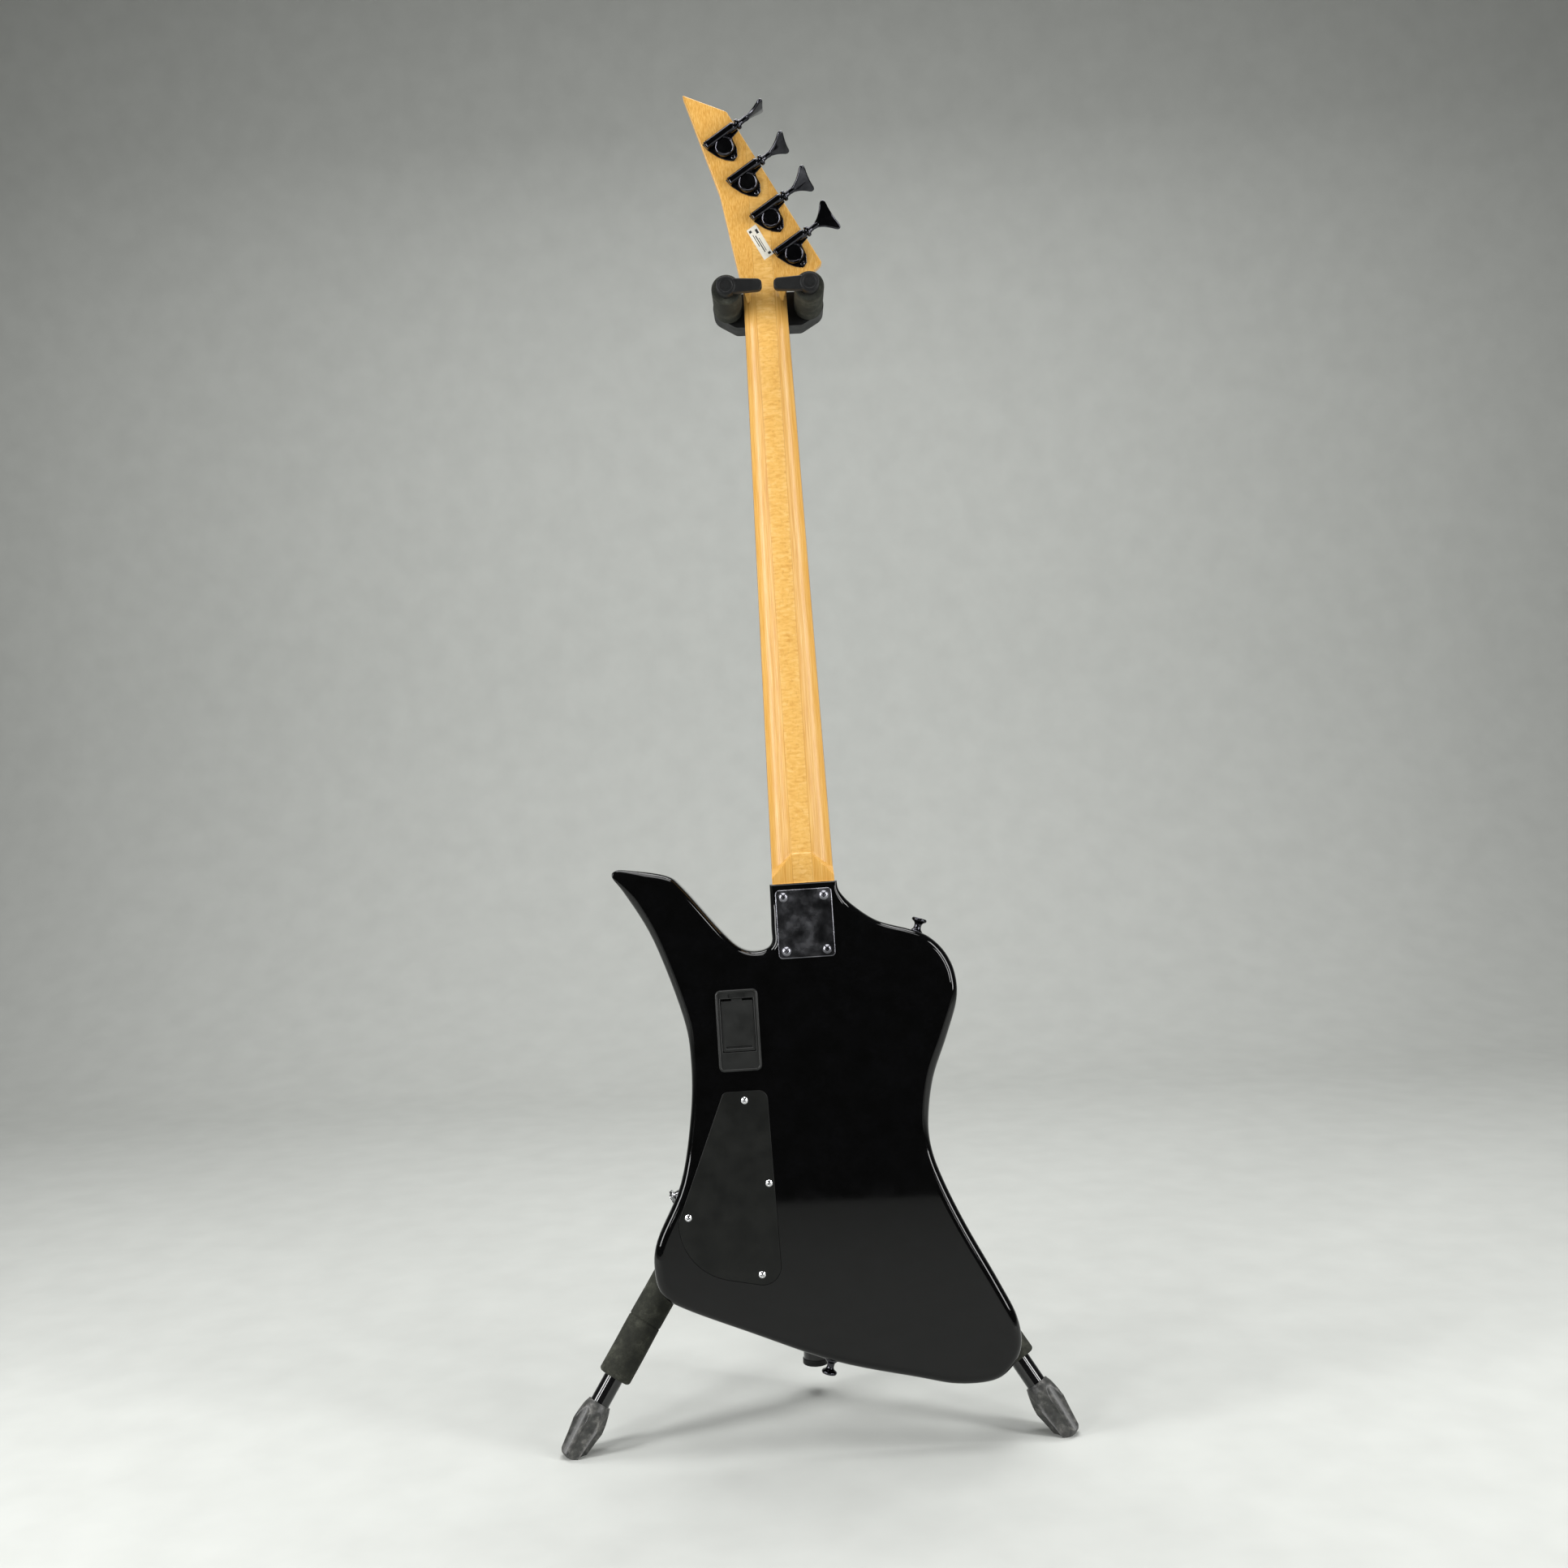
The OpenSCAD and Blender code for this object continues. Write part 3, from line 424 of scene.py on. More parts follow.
def add(tree, kind, inputs=None, **settings):
    """One node with its settings, its inputs set to values or linked to other nodes' sockets."""
    node = tree.nodes.new(kind)
    for key, value in settings.items():
        setattr(node, key, value)
    for key, value in (inputs or {}).items():
        if isinstance(value, bpy.types.NodeSocket):
            tree.links.new(value, node.inputs[key])
        else:
            node.inputs[key].default_value = value
    return node


def ramp(tree, source, *stops):
    """A colour ramp from (position, colour) stops."""
    node = add(tree, "ShaderNodeValToRGB", {"Fac": source})
    elements = node.color_ramp.elements
    while len(elements) < len(stops):
        elements.new(0.5)
    for element, (position, colour) in zip(elements, stops):
        element.position = position
        element.color = colour
    return node.outputs["Color"]


def start_material(name, **shader):
    """A node material with its shader's constant sockets set, and Object coordinates in metres."""
    material = bpy.data.materials.new(name)
    material.use_nodes = True
    tree = material.node_tree
    bsdf = tree.nodes["Principled BSDF"]
    for key, value in shader.items():
        bsdf.inputs[key.replace("_", " ").title().replace("Ior", "IOR")].default_value = value
    coords = add(tree, "ShaderNodeTexCoord").outputs["Object"]
    return material, tree, bsdf, coords


def noise(tree, coords, scale, detail, **more):
    """Noise from 0 to 1, with about scale cells to a unit of the coordinates."""
    inputs = {"Vector": coords, "Scale": scale, "Detail": detail, **more}
    return add(tree, "ShaderNodeTexNoise", inputs).outputs["Fac"]


def scaled(tree, coords, scale, rotation=(0, 0, 0)):
    """The coordinates scaled and then turned: a pattern is finer along an axis of larger scale."""
    inputs = {"Vector": coords, "Scale": scale, "Rotation": rotation}
    return add(tree, "ShaderNodeMapping", inputs).outputs["Vector"]


def reckon(tree, operation, *values):
    """A math node's result."""
    inputs = dict(enumerate(values))
    return add(tree, "ShaderNodeMath", inputs, operation=operation).outputs["Value"]


def spread(tree, source, low, high, start=0.0, end=1.0):
    """The source from start to end, carried linearly to low and high."""
    inputs = {"Value": source, "From Min": start, "From Max": end, "To Min": low, "To Max": high}
    return add(tree, "ShaderNodeMapRange", inputs).outputs["Result"]


def blend(tree, factor, a, b):
    """Colour a where the factor is 0, b where it is 1."""
    inputs = {"Factor": factor, "A": a, "B": b}
    return add(tree, "ShaderNodeMix", inputs, data_type="RGBA").outputs["Result"]


def wire(tree, bsdf, colour, rough, height, strength, depth_mm):
    """Links the colour, the roughness and a bump from the height into the shader."""
    relief = add(tree, "ShaderNodeBump", {
        "Height": height, "Strength": strength, "Distance": depth_mm * MM,
    })
    tree.links.new(colour, bsdf.inputs["Base Color"])
    tree.links.new(rough, bsdf.inputs["Roughness"])
    tree.links.new(relief.outputs["Normal"], bsdf.inputs["Normal"])


def surface(name, dark, light, grain_mm, roughness, bump_mm, stretch=(1, 1, 1), **shader):
    """A plain finish with fine mottling: colour between two close tones, roughness and relief
    follow noise whose cells are grain_mm across, longer along an axis where stretch is below one."""
    material, tree, bsdf, coords = start_material(name, **shader)
    grain = noise(tree, scaled(tree, coords, stretch), 1 / (grain_mm * MM), 4.0)
    broad = noise(tree, coords, 1 / (18 * MM), 3.0)
    both = reckon(tree, "MULTIPLY", grain, broad)
    colour = ramp(tree, both, (0.12, linear(dark)), (0.42, linear(light)))
    wire(tree, bsdf, colour, spread(tree, broad, *roughness, 0.3, 0.7), grain, 0.35, bump_mm)
    return material


def black_lacquer():
    """Buffed polyurethane lacquer: near-black, mirror gloss, the faintest orange peel."""
    return surface("black gloss lacquer", "#020202", "#060607", 2.4, (0.035, 0.06), 0.001,
                   ior=1.4)


def black_nickel():
    """Black nickel plate: mirror with painted reflection, its colour raised to a light grey in soft
    clouds that stand for cloudy reflections.
    """
    # painted reflection: the two grey tones and their clouds stand in for reflections, not for the
    # plate's own colour
    return surface("black nickel plate with painted reflection", "#5c5c61", "#909096", 9.0, (0.1, 0.36), 0.002,
                   metallic=1.0)


def black_chrome():
    """Black chrome on die-cast zinc: dark mirror, softened by the casting below."""
    return surface("black chrome on zinc", "#303034", "#4b4b50", 5.0, (0.06, 0.15), 0.006,
                   metallic=1.0)


def chromed_steel():
    """Chrome-plated steel: bright mirror with fine polishing lines."""
    return surface("chromed steel", "#c9c9cc", "#e2e2e4", 3.0, (0.08, 0.18), 0.003,
                   stretch=(1, 1, 0.2), metallic=1.0)


def nickel_silver():
    """Nickel silver fret wire: warm bright metal, polished along its crown."""
    return surface("nickel silver wire", "#b9b5a8", "#d6d3c8", 1.2, (0.16, 0.28), 0.003,
                   stretch=(0.15, 1, 1), metallic=1.0)


def bone():
    """Bleached bone: ivory with faint pores along the piece."""
    return surface("bleached bone", "#d8d0b8", "#ece7d6", 0.8, (0.3, 0.42), 0.01,
                   stretch=(0.2, 1, 1), ior=1.55, subsurface_weight=0.05)


def moulded_abs():
    """Injection-moulded ABS with a fine spark-eroded grain of about 0.3 mm."""
    return surface("moulded black ABS", "#111211", "#191a19", 0.35, (0.34, 0.46), 0.03, ior=1.5)


def pickup_abs():
    """Smooth satin ABS of the pickup shells."""
    return surface("satin pickup ABS", "#0b0b0c", "#121213", 0.5, (0.28, 0.4), 0.01, ior=1.53)


def laminate():
    """Satin black laminate sheet with a light sanded lay along its length."""
    return surface("satin laminate sheet", "#0c0d0c", "#141513", 0.4, (0.34, 0.46), 0.015,
                   stretch=(1, 1, 0.25), ior=1.42, specular_ior_level=0.35)


def glass_nylon():
    """Glass-filled nylon of the stand's castings: dark, slightly mottled, low sheen."""
    return surface("glass-filled nylon", "#0d0d0e", "#191a1a", 0.7, (0.42, 0.58), 0.05,
                   ior=1.45, specular_ior_level=0.3)


def powder_coat():
    """Gloss black powder coat on steel tube: a very shallow orange peel about 1.5 mm across."""
    return surface("gloss powder coat on steel", "#070708", "#0d0d0e", 1.5, (0.08, 0.16), 0.003,
                   ior=1.5, coat_weight=0.6, coat_roughness=0.08)


def bush_plastic():
    """Acetal bush: waxy mid grey."""
    return surface("acetal bush", "#6b6c6b", "#7d7e7c", 0.6, (0.35, 0.5), 0.01, ior=1.48)


def circuit_board():
    """Green solder mask over laid copper."""
    return surface("solder mask on fibreglass", "#0c3b22", "#14532f", 1.6, (0.25, 0.4), 0.02,
                   ior=1.5)


def battery_can():
    """Painted steel can of the nine-volt battery."""
    return surface("painted battery can", "#1d2126", "#3a3f45", 2.0, (0.3, 0.45), 0.01,
                   metallic=0.6)


def foam():
    """Closed-cell neoprene foam: matt dark grey, cells about 0.9 mm, scuffed lighter in patches."""
    material, tree, bsdf, coords = start_material(
        "closed-cell foam", ior=1.4, specular_ior_level=0.3)
    cells = add(tree, "ShaderNodeTexVoronoi", {"Vector": coords, "Scale": 1 / (0.9 * MM)})
    scuff = noise(tree, coords, 1 / (14 * MM), 6.0, Roughness=0.62)
    fine = noise(tree, coords, 1 / (1.6 * MM), 5.0)
    tones = ramp(tree, scuff, (0.35, linear("#272824")), (0.5, linear("#383932")),
                 (0.68, linear("#5a5b51")))
    colour = blend(tree, fine, linear("#23241f"), tones)
    height = reckon(tree, "ADD", cells.outputs["Distance"], fine)
    wire(tree, bsdf, colour, spread(tree, scuff, 0.78, 0.95), height, 0.5, 0.25)
    return material


def foot_rubber():
    """Moulded rubber, lighter in broad random patches."""
    material, tree, bsdf, coords = start_material("moulded rubber", ior=1.52)
    patch_noise = noise(tree, coords, 1 / (7 * MM), 7.0, Roughness=0.65)
    grain = noise(tree, coords, 1 / (0.6 * MM), 3.0)
    # the colour is lighter, and the roughness higher, where the broad noise is high
    colour = ramp(tree, patch_noise, (0.35, linear("#2b2c2b")), (0.52, linear("#434341")),
                  (0.68, linear("#6c6b67")))
    wire(tree, bsdf, colour, spread(tree, patch_noise, 0.22, 0.55), grain, 0.3, 0.05)
    return material


def in_instrument(tree, coords):
    """Object coordinates in the instrument's own frame, so that grain runs along the neck."""
    inverse = Matrix(HUNG.tolist()).inverted()
    return add(tree, "ShaderNodeMapping", {
        "Vector": coords, "Location": tuple(np.array(inverse.translation) * MM),
        "Rotation": tuple(inverse.to_euler("XYZ")),
    }).outputs["Vector"]


def maple():
    """Three-piece maple under satin lacquer: a flamed centre strip between plainer sides, with
    straight grain lines about 0.8 mm apart that run the neck's length."""
    look = bpy.context.scene.bass_wood
    material, tree, bsdf, coords = start_material(
        "satin lacquered maple", ior=1.48, specular_ior_level=0.4)
    own = in_instrument(tree, coords)
    x = add(tree, "ShaderNodeSeparateXYZ", {"Vector": own}).outputs["X"]
    off_centre = reckon(tree, "ABSOLUTE", x)
    strip = reckon(tree, "LESS_THAN", off_centre, look.strip_width / 2)
    seam_gap = reckon(tree, "SUBTRACT", off_centre, look.strip_width / 2)
    seam = spread(tree, reckon(tree, "ABSOLUTE", seam_gap), 0.55, 0.0, end=0.35 * MM)
    grain = noise(tree, scaled(tree, own, (1250, 1250, 22)), 1.0, 5.0, Roughness=0.6)
    bands = scaled(tree, own, (130, 130, 380), rotation=(0, 0.25, 0))
    curl = noise(tree, bands, 1.0, 3.0, Distortion=0.5)
    fleck = noise(tree, scaled(tree, own, (420, 420, 300)), 1.0, 4.0)
    plain = ramp(tree, grain, (0.32, linear("#c9903f")), (0.5, tuple(look.side_colour)),
                 (0.7, linear("#e9bf74")))
    figured = ramp(tree, curl, (0.3, linear("#d5a052")), (0.5, tuple(look.strip_colour)),
                   (0.72, linear("#e9bd74")))
    flecked = ramp(tree, fleck, (0.55, (0, 0, 0, 1)), (0.72, (0.35, 0.35, 0.35, 1)))
    wood = blend(tree, strip, plain, blend(tree, flecked, figured, linear("#b98138")))
    glued = blend(tree, seam, wood, linear("#a8702c"))
    wire(tree, bsdf, glued, spread(tree, curl, 0.24, 0.4), grain, 0.15, 0.01)
    return material


def rosewood():
    """Oiled rosewood: red-brown with dark streaks and open pores along the neck."""
    material, tree, bsdf, coords = start_material("oiled rosewood", ior=1.5)
    own = in_instrument(tree, coords)
    streak = noise(tree, scaled(tree, own, (260, 260, 9)), 1.0, 6.0, Distortion=0.6)
    pore = noise(tree, scaled(tree, own, (1900, 1900, 160)), 1.0, 2.0)
    wood = ramp(tree, streak, (0.3, linear("#1f120c")), (0.5, linear("#3c2417")),
                (0.7, linear("#56331f")))
    dark = ramp(tree, pore, (0.34, (1, 1, 1, 1)), (0.42, (0, 0, 0, 1)))
    colour = blend(tree, dark, wood, linear("#140b07"))
    wire(tree, bsdf, colour, spread(tree, streak, 0.42, 0.6), pore, 0.4, 0.08)
    return material


def wound_string():
    """Roundwound steel: rings 0.9 mm apart, coarser than the real wrap so that they show, with
    painted shade in the grooves and painted highlight on the crowns.
    A wave of scale 1 has 3.2 bands to a unit."""
    material, tree, bsdf, coords = start_material("roundwound steel", metallic=1.0)
    own = in_instrument(tree, coords)
    rings = add(tree, "ShaderNodeTexWave", {"Vector": own, "Scale": 1 / (0.9 * MM) / 3.2},
                wave_type="BANDS", bands_direction="Z").outputs["Fac"]
    # painted shade and highlight: the colour is dark in the grooves between the rings and bright on
    # their crowns
    colour = ramp(tree, rings, (0.0, linear("#5c5c5c")), (0.6, linear("#b4b3b0")))
    wire(tree, bsdf, colour, spread(tree, rings, 0.45, 0.24), rings, 0.6, 0.12)
    return material


def paper():
    """Uncoated label paper: warm white with faint fibres."""
    return surface("label paper", "#d9d4c4", "#eeeae0", 0.6, (0.7, 0.85), 0.01, ior=1.45)


def ink():
    """Printed black ink on the paper."""
    return surface("printing ink", "#1c1b1a", "#2c2b2a", 0.5, (0.5, 0.65), 0.005, ior=1.5)


def floor_paper():
    """Matt seamless background paper: pale grey with a barely visible tooth."""
    tone = tuple(bpy.context.scene.bass_stage.floor_colour)
    material, tree, bsdf, coords = start_material(
        "matt seamless paper", roughness=0.9, specular_ior_level=0.15)
    tooth = noise(tree, coords, 1 / (60 * MM), 8.0)
    shade = tuple(0.94 * c for c in tone[:3]) + (1.0,)
    tree.links.new(ramp(tree, tooth, (0.3, shade), (0.7, tone)), bsdf.inputs["Base Color"])
    return material


FINISHES = {}


def finish(maker):
    """The material that a maker gives, made once."""
    if maker.__name__ not in FINISHES:
        FINISHES[maker.__name__] = maker()
    return FINISHES[maker.__name__]


# ---- the user's settings
class BodySettings(bpy.types.PropertyGroup):
    edge: bpy.props.FloatProperty(
        name="Edge radius", description="Rounding of the body's edges", default=9 * MM, min=0.002,
        max=0.012, subtype="DISTANCE", unit="LENGTH")


class WoodSettings(bpy.types.PropertyGroup):
    strip_width: bpy.props.FloatProperty(
        name="Strip width", description="Width of the neck's centre strip", default=19 * MM,
        min=0.008, max=0.03, subtype="DISTANCE", unit="LENGTH")
    side_colour: bpy.props.FloatVectorProperty(
        name="Side strips", description="Main colour of the neck's outer strips",
        default=linear("#dba653"), size=4, min=0, max=1, subtype="COLOR")
    strip_colour: bpy.props.FloatVectorProperty(
        name="Centre strip", description="Main colour of the flamed centre strip",
        default=linear("#e2b160"), size=4, min=0, max=1, subtype="COLOR")


class StandSettings(bpy.types.PropertyGroup):
    foam_radius: bpy.props.FloatProperty(
        name="Foam radius", description="Outer radius of the foam on the front legs",
        default=16.5 * MM, min=0.012, max=0.0165, subtype="DISTANCE", unit="LENGTH")
    flutes: bpy.props.IntProperty(
        name="Flutes", description="Scoops round each rubber foot", default=7, min=5, max=9)


class StageSettings(bpy.types.PropertyGroup):
    floor_colour: bpy.props.FloatVectorProperty(
        name="Floor", description="Colour of the seamless floor", default=linear("#c4c6c2"), size=4,
        min=0, max=1, subtype="COLOR")
    power: bpy.props.FloatProperty(
        name="Light", description="Share of the studio lights' full power", default=1.0, min=0.1,
        max=3.0, subtype="FACTOR")


# ---- the instrument
class BASS_OT_body(bpy.types.Operator):
    """Body with its rounded edge, and the pieces let into its back"""

    bl_idname = "bass.body"
    bl_label = "Body"

    def execute(self, context):
        outline = smooth(OUTLINE_MARKS, 6)
        corners = np.stack([OUTLINE_MARKS[0], OUTLINE_MARKS[-1]])
        from_corner = np.linalg.norm(outline[:, None] - corners, axis=2).min(1)
        from_tip = np.linalg.norm(outline - HORN_TIP, axis=1)
        full = context.scene.bass_body.edge / MM
        edge = np.minimum(np.minimum(full, 2.5 + 0.3 * from_corner), 1.2 + 0.26 * from_tip)
        wells = [
            (rounded(COVER_CORNERS, 10), 2.0),
            (oblong(*BATTERY, 17.6, 36, 2), 28),
        ]
        shape = slab(outline, BODY_BACK, BODY_FRONT, edge, 8, wells)
        piece("body_wood", shape, HUNG, finish(black_lacquer), "guitar_body", sharp=30)
        cover = pulled_in(rounded(COVER_CORNERS, 10), 0.3)
        cover = slab(cover, BODY_BACK - 0.2, BODY_BACK + 1.9, 0.5, 3)
        piece("cover_sheet", cover, HUNG, finish(laminate), "control_cover")
        self.battery_case()
        return {"FINISHED"}

    def battery_case(self):
        """Frame with a door opening and a latch recess, and the door with its finger slot."""
        soften("battery_box", finish(moulded_abs), 0.8, 3)
        x, z = BATTERY
        rim = bead(oblong(x, z, 18.7, 36.5, 4, 8), BODY_BACK - 2.2, 1.1)
        lip = bead(oblong(x, z + 4.8, 15.9, 25.2, 1.2, 4), BODY_BACK - 2.3, 0.4)
        piece("battery_rim", join(rim, lip), HUNG, finish(moulded_abs), like="battery_box")
        door = oblong(x, z + 4.05, 15, 23.45, 1.2)
        slot = oblong(x, z - 15.6, 12.4, 1.3, 0.6)
        panel = slab(door, BODY_BACK - 1.8, BODY_BACK + 0.6, 0.4, 3, [(slot, 1.6)])
        tongue = slab(oblong(x, z + 28.3, 5, 0.9, 0.4), BODY_BACK - 1.6, BODY_BACK - 0.2, 0.2, 2)
        hinge = moved(lathe([(0, -16), (0.95, -16), (0.95, 16), (0, 16)], 16),
                      shift(x, BODY_BACK - 0.6, z - 17) @ turn("Y", 90))
        piece("battery_lid", join(panel, tongue, hinge), HUNG, finish(moulded_abs), "battery_door")
        soften("battery", finish(battery_can), 0.8, 3)


class BASS_OT_neck(bpy.types.Operator):
    """Neck with its headstock, fingerboard, frets and nut"""

    bl_idname = "bass.neck"
    bl_label = "Neck"

    def execute(self, context):
        look = finish(maple)
        head = slab(rounded(HEAD_CORNERS, 8), -HEAD_THICK, 0, 1.0, 4)
        head = moved(head, shift(0, HEAD_STEP, 0) @ turn("X", HEAD_ANGLE))
        piece("neck_wood", join(self.shaft(), head), HUNG, look, "neck", sharp=28)
        self.fingerboard()
        soften("nut", finish(bone), 0.25)
        soften("truss_rod", finish(chromed_steel), 0.3)
        soften("truss_rod_cover", finish(moulded_abs), 0.35)
        return {"FINISHED"}

    def shaft(self):
        """Back of the neck. At height z and angle t the point is (w cos t, -6 - depth): the depth
        is an ellipse's, d sin t, or, by the heel, a flat back's that is cut away along a slant."""
        z = np.concatenate([np.linspace(16, 0, 9), np.linspace(-8, -540, 60),
                            np.linspace(-545, POCKET_TOP, 56), [HEEL_END]])[:, None]
        t = np.linspace(0, math.pi, 61)[None]
        half = neck_half(z) - 0.15
        x = half * np.cos(t)
        depth = 15 + 3 * np.clip(z / POCKET_TOP, 0, 1) - 3.2 * np.clip(z / 16, 0, 1) ** 2
        above_heel = np.maximum(z - POCKET_TOP, 0)
        across = np.clip((np.abs(x) - 9.5) / (half - 9.5), 0, 1)
        flat = depth + 0.8 - 1.9 * np.maximum(above_heel - (28 - 22 * across), 0)
        deep = np.maximum(depth * np.sin(t), flat)
        deep = np.where(z <= POCKET_TOP, 20 - 0.2, deep)
        deep = np.hstack([np.zeros_like(z), deep, np.zeros_like(z)])
        x = np.hstack([half, x, -half])
        points = np.stack([x, -BOARD_THICK - deep, z + 0 * x], -1)
        return points.reshape(-1, 3), capped(*x.shape)

    def fingerboard(self):
        """Board with a round top: y falls by x squared over twice the radius."""
        def camber(x):
            return -(x**2) / (2 * BOARD_ROUND)

        z = np.linspace(-0.2, BOARD_END, 90)[:, None]
        half = neck_half(z)
        share = np.linspace(-1, 1, 25)[None]
        top = half * share
        sink = 0.5 * np.clip(np.abs(share) * half - half + 1.2, 0, 1.2) ** 2
        x = np.hstack([top, half, -half])
        below = np.full_like(half, -BOARD_THICK)
        y = np.hstack([camber(top) - sink, below, below])
        points = np.stack([x, y, z + 0 * x], -1)
        board = points.reshape(-1, 3), capped(*x.shape)
        piece("fingerboard_wood", board, HUNG, finish(rosewood), "fretboard", sharp=50)
        piece("fret_wires", join(*(self.fret(n, camber) for n in range(1, 25))), HUNG,
              finish(nickel_silver), "frets")
        dots = [(n, 0) for n in DOT_FRETS] + [(n, x) for n in (12, 24) for x in (-9, 9)]
        discs = []
        for n, x in dots:
            place = shift(x, 0, (fret_z(n) + fret_z(n - 1)) / 2) @ turn("X", -90)
            rim, crown = camber(abs(x) + DOT_RADIUS) + 0.03, camber(x) + 0.05
            discs.append(moved(lathe([
                (0, -1.2), (DOT_RADIUS, -1.2), (DOT_RADIUS, rim), (DOT_RADIUS / 2, crown), (0, crown),
            ], 24), place))
        piece("position_dots", join(*discs), HUNG, finish(bone), like="nut")

    def fret(self, n, camber):
        """A half-round crown 2.6 mm wide and 1 mm high carried across the board's round."""
        half = neck_half(fret_z(n)) - 0.6
        x = np.linspace(-half, half, 13)[:, None]
        t = np.linspace(0, math.pi, 7)[None]
        taper = np.clip((half - np.abs(x)) / 1.2 + 0.25, 0, 1)
        y = camber(x) + np.sin(t) * taper
        z = fret_z(n) + 1.3 * np.cos(t) + 0 * x
        low = camber(x) - 1
        y = np.hstack([low, y, low])
        z = np.hstack([z[:, :1], z, z[:, -1:]])
        points = np.stack([x + 0 * y, y, z], -1)
        return points.reshape(-1, 3), capped(*y.shape)


class BASS_OT_tuners(bpy.types.Operator):
    """Tuning machines: base plates, gear covers, worm housings, keys and posts"""

    bl_idname = "bass.tuners"
    bl_label = "Tuners"

    def execute(self, context):
        chrome = finish(black_chrome)
        bases, screws = [], []
        for i in range(4):
            x, z = tuner_at(i)
            place = shift(x, -HEAD_THICK, z) @ turn("Y", -KEY_ANGLE)
            bases.append(moved(self.base(), place))
            in_tab = place @ shift(1.8, -1.7, -12.2) @ turn("X", 90)
            screws.append(moved(screw(2.4, 1.1, 1.1, 10), in_tab))
            key_place = HEAD @ place @ shift(0, WORM_DEPTH, WORM_OFFSET) @ turn("X", KEY_TURN[i])
            piece(f"key_{i + 1}", self.key(), key_place, chrome, f"tuner_key_{i + 1}")
            soften(f"tuner_post_{i + 1}", chrome, 0.5)
        piece("tuner_bases", join(*bases), HEAD, chrome, "tuner_housings", sharp=35)
        piece("tuner_base_screws", join(*screws), HEAD, chrome, "tuner_screws")
        self.label()
        return {"FINISHED"}

    def base(self):
        """Plate with a tab for its screw, a domed gear cover with a rim, and the worm's housing."""
        outline = rounded([
            (-16, 14.8, 0.5), (-15, 7, 2), (-10.5, -4, 4), (-6, -10.5, 3), (0, -15.8, 2),
            (5.6, -14, 2.4), (9.6, -7.5, 4), (11.4, 3, 2), (20.5, 5, 1), (20.5, 14.8, 1),
        ], 5)
        plate = slab(outline, -1.8, 0, 0.6, 3)
        dome = lathe([(9.8, 1), (9.8, 6.2), (9.6, 7.2), (9, 8), (8.3, 8.4), (7.7, 8.2), (7.3, 7.7),
                      (6.8, 7.6), (4, 8), (0, 8.2)], 64)
        low = lathe([(0, 1), (9.8, 1)], 64)
        corners = [(-15.2, 6.8, 1.2), (19, 6.8, 2.4), (19, 14.2, 2.4), (-15.2, 14.2, 0.8)]
        housing = slab(rounded(corners, 5), -10.4, -1, 2.9, 6)
        return join(plate, moved(join(dome, low), turn("X", 90)), housing)

    def key(self):
        """Shaft with a collar, and a fishtail paddle whose two wings bend off its middle plane: the
        bend grows with the 1.3th power of the distance from the middle."""
        shaft = lathe([
            (0, -11), (2.9, -11), (2.9, 12), (3.5, 13), (3.5, 19.6), (3.1, 20), (3.2, 20.4),
            (4.9, 21), (5.3, 22), (5.3, 23), (4.9, 24), (3.4, 24.6), (2.7, 26), (2.5, 29),
            (2.9, 32), (2.4, 35), (0, 36),
        ], 40)
        outline = smooth(np.array([
            (28, -1.6), (32, -2.6), (36, -4.4), (40, -7.2), (44, -11), (47.6, -14.8), (50, -15.9),
            (52, -15), (52.6, -12), (51.9, -6), (51.6, 0), (51.9, 6), (52.6, 12), (52, 15),
            (50, 15.9), (47.6, 14.8), (44, 11), (40, 7.2), (36, 4.4), (32, 2.6), (28, 1.6),
        ], float), 3)
        paddle, faces = slab(outline, -1.6, 1.6, 1.3, 4)
        paddle[:, 1] += 1.7 * (np.abs(paddle[:, 2]) / 16) ** 1.3 - 0.4
        return join(moved(shaft, turn("Y", 90)), (paddle, faces))

    def label(self):
        """Small paper label with plain printed bars on the back of the headstock."""
        corners = np.array([(-15, 62), (-5, 68), (12, 36.5), (2, 30.6)], float)
        centre = corners.mean(0)
        across, along = np.array([0.857, 0.515]), np.array([0.475, -0.88])

        def bar(u, v, half_u, half_v, low, high):
            """A flat bar about (u, v), measured across and along the label."""
            square = np.array(SQUARE, float) * (half_u, half_v) + (u, v)
            return slab(centre + square[:, :1] * across + square[:, 1:] * along, low, high, 0.02, 1)

        face = -HEAD_THICK
        sheet = bar(0, 0, 5.5, 16.5, face - 0.12, face + 0.05)
        piece("label_paper", sheet, HEAD, finish(paper), like="nut")
        bars = [(-2.5, -3, 0.35, 6.5), (-0.6, 1.5, 0.5, 9), (1.2, 3, 0.3, 7), (-3, -13.2, 1.3, 1.2),
                (2.6, 13.4, 1.4, 1.2), (2.9, -10.4, 1.2, 2.2)]
        print_shape = join(*(bar(u, v, a, b, face - 0.16, face - 0.08) for u, v, a, b in bars))
        piece("label_print", print_shape, HEAD, finish(ink), like="nut")


